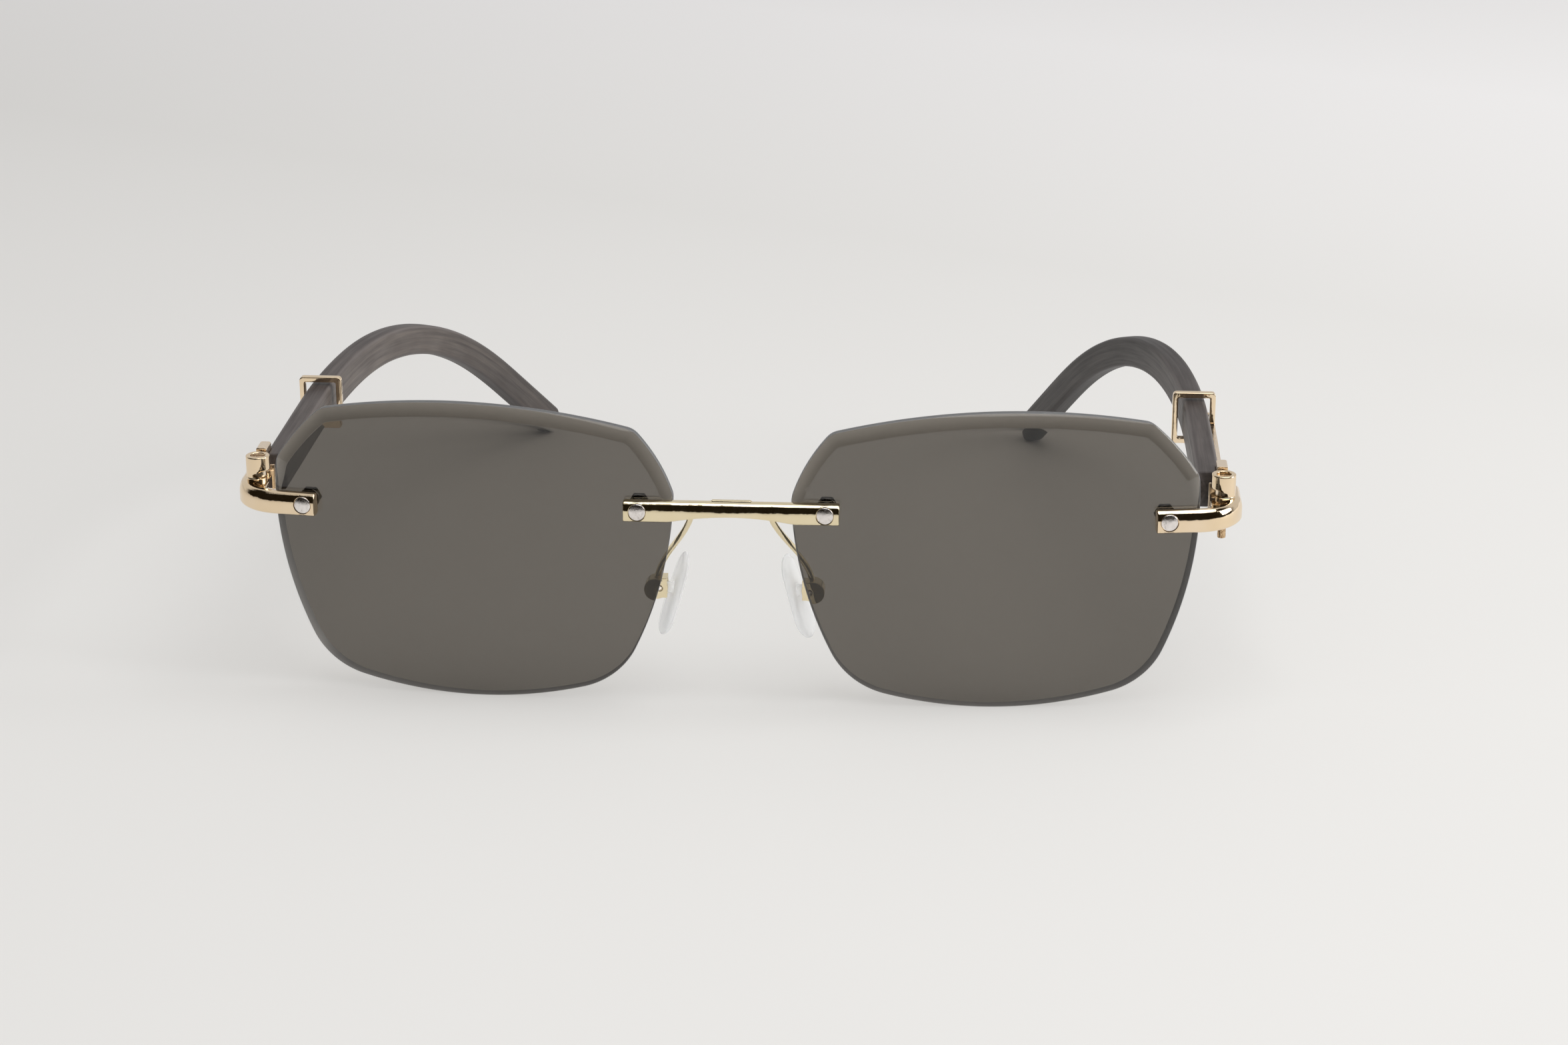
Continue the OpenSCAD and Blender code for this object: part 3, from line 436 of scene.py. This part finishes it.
def softened(shape, voxel, steps):
    """A solid remeshed and relaxed, so that its edges are round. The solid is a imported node's
    name or points and faces in millimetres."""
    if isinstance(shape, str):
        mesh = frame["nodes"][shape].data.copy()
        mesh.transform(Matrix.Translation((0, -LENS_Y, 0)) @ Matrix.Scale(1 / MM, 4))
    else:
        mesh = bpy.data.meshes.new("work")
        mesh.from_pydata([tuple(p) for p in shape[0]], [], [list(f) for f in shape[1]])
    work = bmesh.new()
    work.from_mesh(mesh)
    bmesh.ops.remove_doubles(work, verts=work.verts, dist=0.0005)
    bmesh.ops.recalc_face_normals(work, faces=work.faces)
    work.to_mesh(mesh)
    work.free()
    made = bpy.data.objects.new("work", mesh)
    bpy.context.scene.collection.objects.link(made)
    remesh = made.modifiers.new("Remesh", "REMESH")
    remesh.mode, remesh.voxel_size, remesh.adaptivity = "VOXEL", voxel, 0
    result = evaluated(made)
    points = np.zeros(len(result.vertices) * 3)
    result.vertices.foreach_get("co", points)
    points = points.reshape(-1, 3)
    edges = np.zeros(len(result.edges) * 2, np.int64)
    result.edges.foreach_get("vertices", edges)
    edges = edges.reshape(-1, 2)
    faces = [tuple(p.vertices) for p in result.polygons]
    # Remeshing shapes that lie in each other can leave tiny bubbles: the largest skin is kept.
    label = np.arange(len(points))
    while True:
        low = np.minimum(label[edges[:, 0]], label[edges[:, 1]])
        new = label.copy()
        np.minimum.at(new, edges[:, 0], low)
        np.minimum.at(new, edges[:, 1], low)
        new = new[new]
        if (new == label).all():
            break
        label = new
    keep = label == np.bincount(label).argmax()
    number = np.cumsum(keep) - 1
    points, edges = points[keep], number[edges[keep[edges[:, 0]]]]
    faces = [tuple(int(number[i]) for i in face) for face in faces if keep[face[0]]]
    share = np.bincount(edges.ravel(), minlength=len(points))[:, None]
    for _ in range(steps):
        total = np.zeros_like(points)
        np.add.at(total, edges[:, 0], points[edges[:, 1]])
        np.add.at(total, edges[:, 1], points[edges[:, 0]])
        points += 0.5 * (total / share - points)
    bpy.data.objects.remove(made)
    bpy.data.meshes.remove(mesh)
    bpy.data.meshes.remove(result)
    return points, faces


# Lenses

def circle_through(a, b, r):
    """Circle [x, z, radius] through two points, with its middle on the right of the line."""
    a, b = np.array(a), np.array(b)
    d = b - a
    n = np.array([d[1], -d[0]]) / np.linalg.norm(d)
    c = (a + b) / 2 + n * math.sqrt(r * r - d @ d / 4)
    return (c[0], c[1], r)


def lens_outline():
    """Six arcs with rounded corners between them, clockwise from the top, as x and z."""
    top_r = LENS_W * 1.8
    temporal_shoulder = ((TEMPORAL_X - 7.3, LENS_H - 1.5), (TEMPORAL_X - 0.32, LENS_H - 9.4))
    nasal_shoulder = ((NASAL_X + 0.63, LENS_H - 11.25), (NASAL_X + 5.94, LENS_H - 3.05))
    arcs = [
        (NASAL_X + LENS_W * 0.55, LENS_H - top_r, top_r),
        circle_through(*temporal_shoulder, LENS_W * 0.6),
        (TEMPORAL_X - LENS_W * 0.99, LENS_H * 0.7, LENS_W * 0.99),
        (NASAL_X + LENS_W * 0.5, LENS_W * 1.08, LENS_W * 1.08),
        (NASAL_X + LENS_W, LENS_H * 0.75, LENS_W),
        circle_through(*nasal_shoulder, LENS_W * 0.43),
    ]
    corner_r = (3, 3, 11.2, 11.9, 3, 3)
    middles = []
    for i, (x, z, r) in enumerate(arcs):
        a, b = np.array((x, z)), np.array(arcs[(i + 1) % 6][:2])
        ra, rb = r - corner_r[i], arcs[(i + 1) % 6][2] - corner_r[i]
        d = np.linalg.norm(b - a)
        u = (b - a) / d
        along = (d * d + ra * ra - rb * rb) / (2 * d)
        middles.append(a + along * u + math.sqrt(ra * ra - along * along) * np.array([u[1], -u[0]]))
    line = []
    arc_step, corner_step = 0.8, 0.3
    for i in range(6):
        this, following = np.array(arcs[i][:2]), np.array(arcs[(i + 1) % 6][:2])
        spans = (
            (this, arcs[i][2], middles[i - 1], middles[i], False, arc_step),
            (middles[i], corner_r[i], this, following, True, corner_step),
        )
        for middle, r, first, last, corner, step in spans:
            sign = -1 if corner else 1
            a0, a1 = (math.atan2(*(sign * (p - middle))[::-1]) for p in (first, last))
            while a1 > a0:
                a1 -= 2 * math.pi
            count = max(2, round((a0 - a1) * r / step))
            for k in range(count):
                a = a0 + (a1 - a0) * k / count
                line.append(middle + r * np.array([math.cos(a), math.sin(a)]))
    return np.array(line)


def ease(value, start=0, end=1):
    """Grows softly from 0 to 1 between two values."""
    t = np.clip((value - start) / (end - start), 0, 1)
    return t * t * (3 - 2 * t)


def lens_shape():
    """Front face with its ground facet, polished wall and back face, as one closed skin."""
    outline = lens_outline()
    run = np.roll(outline, -1, 0) - np.roll(outline, 1, 0)
    inward = np.stack([run[:, 1], -run[:, 0]], 1) / np.linalg.norm(run, axis=1)[:, None]
    x, z = outline[:, 0], outline[:, 1]
    middle = np.array([NASAL_X + LENS_W / 2, LENS_H / 2])
    facet = FACET_W * np.where(x > middle[0], ease(z, *TEMPORAL_FACET), ease(z, *NASAL_FACET))
    least_w, most_soft = 0.3, 0.15
    width = np.maximum(facet, least_w)
    soft = np.minimum(most_soft, 0.3 * width)
    slope = math.tan(math.radians(FACET_SLOPE))
    # The edge is ground at a slant on the temporal side, and a little along the bottom.
    side_slant, low_slant = 0.75, 0.25
    slant = (side_slant * np.maximum(-inward[:, 0], 0) * (1 - 0.6 * facet / FACET_W)
             + low_slant * np.maximum(inward[:, 1], 0))

    def ring(inset, back, sink=0.0, share=0.0):
        """The outline moved inward, then drawn toward the middle by a share, on either face."""
        p = outline + inward * np.reshape(inset + slant * back, (-1, 1))
        p = p + (middle - p) * share
        if back:
            y = CURVE_R - np.sqrt((CURVE_R - LENS_T) ** 2 - (p[:, 0] - CURVE_X) ** 2
                                  - (p[:, 1] - CURVE_Z) ** 2) - sink
        else:
            e = facet - np.ravel(inset) if share == 0 else np.full(len(p), -9.0)
            ground = np.where(e > soft, e, np.where(e < -soft, 0, (e + soft) ** 2 / (4 * soft)))
            y = lens_y(p[:, 0], p[:, 1]) + slope * ground + sink
        return np.stack([p[:, 0], y, p[:, 1]], 1)

    inner = [width + soft + 0.5] * 9
    shares = (0.96, 0.88, 0.76, 0.62, 0.48, 0.34, 0.2, 0.08, 0.0)
    edge = np.full(len(outline), 0.08)
    rings = [ring(w, False, share=max(s, 1e-9)) for w, s in zip(inner, shares)]
    rings += [ring(w, False) for w in (width + soft, width + soft / 2, width, width - soft / 2,
                                       width - soft, width * 0.66, width * 0.33, edge)]
    rings += [ring(edge * 0, False, 0.08), ring(edge * 0, True, 0.12)]
    rings += [ring(w, True) for w in (edge, width * 0.5, width)]
    rings += [ring(w, True, share=s) for w, s in zip(inner[::-1], shares[::-1])]
    return skin(rings)


def drilled(made, tool, sign):
    """Cuts a turned tool out of a piece."""
    drill = mesh_object("drill", tool, sign)
    cut = made.modifiers.new("Drill", "BOOLEAN")
    cut.operation, cut.object, cut.solver = "DIFFERENCE", drill, "EXACT"
    result = evaluated(made)
    made.modifiers.clear()
    made.data = result
    bpy.data.objects.remove(drill)
    return made


def add_lenses():
    shape = lens_shape()
    for side, sign in SIDES:
        made = mesh_object(f"lens_{side}.polished", shape, sign)
        for x, z, _ in (INNER, OUTER):
            origin, axis = mount(x, z)
            start = np.array(origin) - 3 * np.array(axis)
            drilled(made, lathe([(BUSH_R + BORE_GAP, 0), (BUSH_R + BORE_GAP, 8)], start, axis), sign)
        # The polished faces look forward or back, the ground edge and holes do not.
        ground = made.data.attributes.new("ground", "FLOAT", "FACE")
        ground.data.foreach_set("value", [float(abs(p.normal.y) < 0.7) for p in made.data.polygons])
        dress(made, f"lens_{side}", LENS_PLASTIC, crease=32)


# Lens mounts

def add_mounts():
    for place, (x, z, depth) in (("inner", INNER), ("outer", OUTER)):
        origin, axis = mount(x, z)
        face = -depth - BAR_GAP
        dome_r = (HEAD_R ** 2 + HEAD_DOME ** 2) / (2 * HEAD_DOME)
        arc = [(r, face - HEAD_PROUD + dome_r - math.sqrt(dome_r ** 2 - r ** 2))
               for r in np.linspace(0, HEAD_R - 0.09, 12)]
        end = LENS_T + WASHER_T + NUT_T + 0.35
        screw = arc + [(HEAD_R - 0.04, face + 0.09), (HEAD_R - 0.01, face + 0.13), (HEAD_R, face + 0.18),
                       (HEAD_R, face + HEAD_DEEP), (SCREW_R, face + HEAD_DEEP), (SCREW_R, end - 0.12),
                       (SCREW_R - 0.12, end), (0, end)]
        bore = SCREW_R + BORE_GAP
        bush = rounded([(bore, 0), (BUSH_R, 0), (BUSH_R, LENS_T), (bore, LENS_T)], [0.05] * 4, 2)
        low, high = LENS_T + SEAT, LENS_T + SEAT + WASHER_T
        washer = rounded([(bore, low), (WASHER_R, low), (WASHER_R, high), (bore, high)],
                         [0.05, 0.1, 0.1, 0.05], 2)
        nut = softened(f"{place}_nut_right", 0.08, 3)
        for side, sign in SIDES:
            for name, shape, material in (
                ("screw_{}.head", lathe(screw, origin, axis, 64), STEEL),
                ("bush_{}.sleeve", lathe(bush, origin, axis, 48, True), CLEAR_PC),
                ("washer_{}.disc", lathe(washer, origin, axis, 48, True), CLEAR_PC),
                ("nut_{}.cap", nut, BLACK_NICKEL),
            ):
                name = f"{place}_{name.format(side)}"
                crease = None if material == BLACK_NICKEL else 50
                dress(mesh_object(name, shape, sign), name.split(".")[0], material, crease)


# Bars

def crown(z, top, fall, depth):
    """How far a bar's front face leans back at a height, over its uppermost part."""
    return depth * (np.clip(z - (top - fall), 0, fall) / fall) ** 2


def leaned_back(out, z, top, fall, depth, limit):
    """New distances behind the front face: 0 becomes the crown, the limit stays."""
    front = 0.05
    out = np.where(np.abs(out) < front, 0, out)
    lean = crown(z, top, fall, depth)
    return np.where((out < limit) & (z < top + 0.1), lean + out * (1 - lean / limit), out)


def packed_shape(node):
    """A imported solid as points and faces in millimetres."""
    mesh = frame["nodes"][node].data
    points = np.zeros(len(mesh.vertices) * 3)
    mesh.vertices.foreach_get("co", points)
    return points.reshape(-1, 3) / MM - [0, LENS_Y, 0], [tuple(p.vertices) for p in mesh.polygons]


def pocket(x, z, depth, sign=1):
    """The plug that fills a screw head's pocket before the bar is softened, and the tool that
    cuts it out again with a clean rim."""
    origin, axis = mount(x, z)
    face = -depth - BAR_GAP
    plug_r = POCKET_R + 0.09
    shapes = [lathe(profile, origin, axis, 64) for profile in (
        [(plug_r, face + 0.01), (plug_r, face + POCKET_DEEP + 0.1)],
        [(POCKET_R, face - 2), (POCKET_R, face + POCKET_DEEP)],
    )]
    return [(np.array(points) * [sign, 1, 1], faces) for points, faces in shapes]


def add_bridge():
    plugs = [pocket(*INNER, sign)[0] for sign in (1, -1)]
    points, faces = softened(joined(packed_shape("bridge"), *plugs), 0.1, 7)
    out = points[:, 1] - BRIDGE_FRONT
    points[:, 1] = BRIDGE_FRONT + leaned_back(out, points[:, 2], BRIDGE_TOP, *BRIDGE_CROWN)
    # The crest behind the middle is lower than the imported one, as in the photograph.
    crest, crest_share = points[:, 2] > BRIDGE_TOP, 0.4
    points[crest, 2] = BRIDGE_TOP + crest_share * (points[crest, 2] - BRIDGE_TOP)
    made = mesh_object("bridge.polished", (points, faces))
    for sign in (1, -1):
        drilled(made, pocket(*INNER)[1], sign)
    dress(made, "bridge", BRIDGE_GOLD, crease=50)


def add_end_pieces():
    """The bar's face is followed round the bend, so that its crown runs on to the rear."""
    points, faces = softened(joined(packed_shape("end_piece_right"), pocket(*OUTER)[0]), 0.09, 8)
    first = math.radians(END_SLANT - 90)
    v = points[:, :2] - [BEND_X, BEND_Y]
    angle = np.arctan2(v[:, 1], v[:, 0])
    angle = np.where(v @ [math.sin(first), -math.cos(first)] > 0, first, np.clip(angle, first, 0))
    normal = np.stack([np.cos(angle), np.sin(angle)], 1)
    out = BEND_R - (v * normal).sum(1)
    new = leaned_back(out, points[:, 2], END_TOP, *END_CROWN)
    points[:, :2] -= normal * (new - out)[:, None]
    # An oval hollow in the neck's slot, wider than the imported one, lets the tongue show in front.
    cove_x, cove_z, cove_w, cove_h = HINGE_X - 1.2, (END_TOP + SLOT_TOP) / 2, 1.75, 0.5
    turns = np.radians(np.arange(0, 360, 7.5))
    cove = skin([[(cove_x + cove_w * math.cos(t), y, cove_z + cove_h * math.sin(t)) for t in turns]
                 for y in (HINGE_Y - 3, HINGE_Y + 0.2)])
    for side, sign in SIDES:
        made = drilled(mesh_object(f"end_piece_{side}.polished", (points, faces), sign),
                       pocket(*OUTER)[1], sign)
        drilled(made, cove, sign)
        dress(made, f"end_piece_{side}", ROSE_GOLD, crease=50)


def add_gold_parts():
    for node, voxel, steps, material in (
        ("temple_hinge", 0.07, 3, SATIN_GOLD), ("side_bar", 0.1, 4, SATIN_GOLD),
        ("temple_loop", 0.08, 4, ROSE_GOLD), ("pad_box", 0.07, 4, BRIDGE_GOLD),
        ("loop_peg", 0.07, 2, ROSE_GOLD),
    ):
        shape = softened(f"{node}_right", voxel, steps)
        for side, sign in SIDES:
            dress(mesh_object(f"{node}_{side}.polished", shape, sign), f"{node}_{side}", material)


def add_small_screws():
    for side, sign in SIDES:
        points, faces = softened(f"hinge_screw_{side}", 0.06, 2)
        points[:, 0] *= sign
        if side == "left":
            # The left screw's head is raised until it is almost flush with the knuckle.
            head_t, lift = 0.8, 0.3
            points[points[:, 2] > BARREL_TOP - head_t, 2] += lift
        node = f"hinge_screw_{side}"
        dress(mesh_object(f"{node}.slotted", (points, faces), sign), node, BRASS)
    for node, material in (("temple_screw", STEEL), ("pad_screw", STEEL)):
        shape = softened(f"{node}_right", 0.06, 2)
        for side, sign in SIDES:
            dress(mesh_object(f"{node}_{side}.turned", shape, sign), f"{node}_{side}", material)


# Temples

def heading(s):
    """Angle by which the temple runs inward, after a way along it."""
    return np.radians(TOE_FIRST + (TOE_IN - TOE_FIRST) * ease(s, TOE_START, TOE_END))


def drop(s):
    """Angle by which the temple runs downward, after a way along it."""
    return np.radians((EAR_DROP + RISE) * ease(s, DROP_START, DROP_END) - RISE)


def wood_line(s):
    """Middle line of the temple, summed in steps of 1 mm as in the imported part."""
    mid = np.arange(0, 140) + 0.5
    h, d = heading(mid), drop(mid)
    ahead = np.stack([-np.sin(h) * np.cos(d), np.cos(h) * np.cos(d), -np.sin(d)], 1)
    line = np.vstack([WOOD_START, np.array(WOOD_START) + np.cumsum(ahead, 0)])
    return np.stack([np.interp(s, np.arange(len(line)), line[:, k]) for k in range(3)], 1)


def add_temples():
    """Lofted along its bent line with rounded corners, a recess for the block and a round tip."""
    tip_r = H_TIP / 2
    notch = BLOCK_REAR + SEAT - WOOD_START[1]
    tip = WOOD_L - tip_r * (1 - np.sin(np.radians(np.linspace(0, 90, 12))))
    s = np.concatenate([[0, 0.12, 0.3, 0.6], np.arange(1, notch - 0.05, 0.5),
                        [notch - 0.02, notch + 0.02], np.arange(3.2, tip[0] - 0.5, 0.9), tip])
    middle = wood_line(s)
    h, d = heading(s), drop(s)
    outward = np.stack([np.cos(h), np.sin(h), 0 * h], 1)
    upward = np.stack([-np.sin(h) * np.sin(d), np.cos(h) * np.sin(d), np.cos(d)], 1)
    tall = np.where(s < LOOP_AT, H_FRONT + (H_LOOP - H_FRONT) * s / LOOP_AT,
                    H_LOOP + (H_TIP - H_LOOP) * ease(s, LOOP_AT, TOE_END))
    share = np.sqrt(np.clip(1 - np.clip((s - (WOOD_L - tip_r)) / tip_r, 0, 1) ** 2, 0.004, 1))
    nose_r, corner_r = 0.35, 0.85
    front = np.sqrt(np.clip(1 - (1 - np.clip(s / nose_r, 0, 1)) ** 2, 0, 1))
    tall = tall * share - 2 * nose_r * (1 - front)
    wide = WOOD_W * (0.35 + 0.65 * share) - 2 * nose_r * (1 - front)
    rings, grain, edge, corner = [], [], [], []
    for i in range(len(s)):
        w, t = wide[i] / 2, tall[i] / 2
        r = min(corner_r, w * 0.85, t * 0.85)
        corners = [(w, -t), (w, t), (-w, t), (-w, -t)]
        flat = rounded(corners, [r * 1.15] * 4, 7)
        points = middle[i] + flat[:, :1] * outward[i] + flat[:, 1:] * upward[i]
        if s[i] < notch:
            points[:, 0] = np.minimum(points[:, 0], BLOCK_IN - SEAT)
        rings.append(points)
        grain += [(s[i], q[0], q[1]) for q in flat]
        top = ease((np.abs(flat[:, 1]) - (t - r)) / max(r, 0.01))
        side = ease((np.abs(flat[:, 0]) - (w - r)) / max(r, 0.01))
        edge += list(top)
        corner += list(4 * top * side * (1 - abs(top - side)) / 2)
    shape = skin(rings)
    grain = np.array(grain + [(s[0], 0, 0), (s[-1], 0, 0)])
    along = grain[:, 0]
    edge += [1.0, 1.0]
    corner += [0.0, 0.0]
    # Painted shade: each temple is darker toward its ear end, the right one more so.
    shade_by_side = {"right": 0.2 + 0.8 * ease(along, 22, 72), "left": 0.1 + 0.42 * ease(along, 68, 103)}
    grain_starts = {"right": 0.0, "left": 40.0}
    for side, sign in SIDES:
        made = mesh_object(f"temple_wood_{side}.stained", shape, sign)
        vector = made.data.attributes.new("grain", "FLOAT_VECTOR", "POINT")
        vector.data.foreach_set("vector", (grain + [grain_starts[side], 0, 0]).ravel())
        for name, values in (("edge", edge), ("corner", corner), ("soak", shade_by_side[side])):
            stored = made.data.attributes.new(name, "FLOAT", "POINT")
            stored.data.foreach_set("value", np.array(values, float))
        dress(made, f"temple_wood_{side}", WOOD, crease=40)


# Nose pads

def pad_arm():
    """Bent wire from under the bridge to the box, with a short straight end in the socket."""
    start, end = np.array(ARM_START), np.array(ARM_END)
    pull, lift = np.array([1.5, 2.6, -4.4]), np.array([-1.0, -0.3, 3.8])
    t = np.linspace(0, 1, 41)[:, None]
    line = ((1 - t) ** 3 * start + 3 * t * (1 - t) ** 2 * (start + pull)
            + 3 * t * t * (1 - t) * (end + lift) + t ** 3 * end)
    line = np.vstack([line, end - [0, 0, SOCKET_DEEP]])
    run = np.gradient(line, axis=0)
    run[0] = run[-1] = run[-2] = (0, 0, -1)
    run /= np.linalg.norm(run, axis=1)[:, None]
    across = np.cross(run, [0, 1, 0])
    across /= np.linalg.norm(across, axis=1)[:, None]
    other = np.cross(across, run)
    turns = np.radians(np.arange(0, 360, 18))
    return skin([p + WIRE_R * (np.cos(turns)[:, None] * a + np.sin(turns)[:, None] * b)
                 for p, a, b in zip(line, across, other)])


def pad_shape():
    """Soft oval pad, fuller in the middle and thin at its rim, with a tab for the pad screw."""
    top, low = PAD_H / 2 - PAD_TOP_R, -PAD_H / 2 + PAD_LOW_R
    lean = math.asin((PAD_LOW_R - PAD_TOP_R) / (top - low))
    upper = np.linspace(lean, math.pi - lean, 22)
    lower = np.linspace(math.pi - lean, 2 * math.pi + lean, 26)
    outline = np.array([(PAD_TOP_R * math.cos(a), top + PAD_TOP_R * math.sin(a)) for a in upper]
                       + [(PAD_LOW_R * math.cos(a), low + PAD_LOW_R * math.sin(a)) for a in lower])
    middle = outline.mean(0)
    rings = []
    for share in (0.05, 0.3, 0.5, 0.66, 0.78, 0.87, 0.93, 0.97, 0.99):
        rings.append((share, PAD_T / 2 * (1 - share ** 7) ** 0.5))
    rings += [(1.0, 0.0)] + [(share, -half) for share, half in rings[::-1]]
    turn = (Matrix.Rotation(math.radians(-PAD_SPLAY), 4, "Z")
            @ Matrix.Rotation(math.radians(-PAD_LEAN), 4, "Y"))
    # The pad curves slightly round the side of the nose and keeps a little clear of its box.
    curve, clear = 0.02, 0.1
    skins = []
    for share, half in rings:
        flat = middle + (outline - middle) * share
        skins.append([tuple(Vector(PAD_MID) + turn @ Vector((half - curve * u * u - clear, u, v)))
                      for u, v in flat.tolist()])
    x, y, z = PAD_PIVOT
    tab_r, tab_half, stem_high, stem_l = 0.95, 0.5, 0.55, 1.9
    tab = lathe([(tab_r, -tab_half), (tab_r, tab_half)], PAD_PIVOT, (0, 1, 0), 32)
    section = ((-tab_half, -tab_r), (tab_half, -tab_r), (tab_half, stem_high), (-tab_half, stem_high))
    stem = skin([[(x - u, y + a, z + b) for a, b in section] for u in (0.0, stem_l)])
    return softened(joined(skin(skins), tab, stem), 0.12, 5)


def add_nose_pads():
    arm, pad = pad_arm(), pad_shape()
    for side, sign in SIDES:
        wire = mesh_object(f"pad_arm_{side}.wire", arm, sign)
        dress(wire, f"pad_arm_{side}", BRIDGE_GOLD, crease=50)
        dress(mesh_object(f"nose_pad_{side}.soft", pad, sign), f"nose_pad_{side}", SILICONE)


# Stage, in metres

LAMP_W = 0.6


def add_table():
    """White table top with painted light: it is painted paler toward the rear right, so that it is
    as light as in front although the lamps reach it less."""
    material, tree = new_material("white_laminate_matt")
    place = object_place(tree)
    colour = blend(tree, noise(tree, place, 6.0, 3.0), "#e2e1df", "#dfdedc")
    # Painted light: the table is made paler toward the rear right.
    spot = add_node(tree, "ShaderNodeVectorMath", {"operation": "DOT_PRODUCT", 1: (0.5, 1.0, 0.0)},
                    {0: place})
    rear = spread(tree, spot.outputs["Value"], 0.2, 0.42, 0.0, 1.0)
    show(tree, add_node(tree, "ShaderNodeBsdfPrincipled", {"Roughness": 0.7, "Specular IOR Level": 0.2},
                        {"Base Color": blend(tree, rear, colour, "#f0efef")}))
    half = 4
    mesh = bpy.data.meshes.new("table")
    mesh.from_pydata([(-half, -half, 0), (half, -half, 0), (half, half, 0), (-half, half, 0)], [],
                     [(0, 1, 2, 3)])
    mesh.materials.append(material)
    table = bpy.data.objects.new("table", mesh)
    bpy.context.scene.collection.objects.link(table)


def add_world():
    """Pale surroundings. Mirrored rays see a dark room instead, in front and at both sides, up to
    about 60 degrees above the table."""
    world = bpy.data.worlds.new("studio")
    bpy.context.scene.world = world
    world.use_nodes = True
    tree = world.node_tree
    tree.nodes.clear()
    toward = add_node(tree, "ShaderNodeTexCoord").outputs["Generated"]
    parts = add_node(tree, "ShaderNodeSeparateXYZ", {}, {0: toward}).outputs
    below = spread(tree, parts["Z"], 0.8, 0.92, 1.0, 0.0, "SMOOTHSTEP")
    front = spread(tree, parts["Y"], 0.1, 0.45, 1.0, 0.0, "SMOOTHSTEP")
    path = add_node(tree, "ShaderNodeLightPath").outputs
    mirrored = calculate(tree, "SUBTRACT", path["Is Glossy Ray"], path["Is Transmission Ray"])
    dark = calculate(tree, "MULTIPLY", calculate(tree, "MULTIPLY", below, front), mirrored)
    shine = add_node(tree, "ShaderNodeBackground", {"Strength": 1.0},
                     {"Color": blend(tree, dark, "#d1d0cf", "#1d1810")})
    add_node(tree, "ShaderNodeOutputWorld", {}, {"Surface": shine.outputs[0]})


def add_lamps():
    """One wide lamp above and one at the right: place, power in watts and the point lit."""
    for name, place, power, aim in (
        ("softbox_above", (0.18, -0.16, 0.66), 2.05, (0.08, 0, 0)),
        ("softbox_right", (1.1, -0.1, 0.45), 5.2, (0, 0, 0.02)),
    ):
        data = bpy.data.lights.new(name, "AREA")
        data.shape, data.size, data.size_y, data.energy = "RECTANGLE", LAMP_W, LAMP_W, power
        lamp = bpy.data.objects.new(name, data)
        bpy.context.scene.collection.objects.link(lamp)
        lamp.location = place
        lamp.rotation_euler = (Vector(aim) - Vector(place)).to_track_quat("-Z", "Y").to_euler()


add_camera()
add_lenses()
add_mounts()
add_bridge()
add_end_pieces()
add_gold_parts()
add_small_screws()
add_temples()
add_nose_pads()
add_table()
add_world()
add_lamps()
bpy.context.scene.view_settings.view_transform = "Standard"
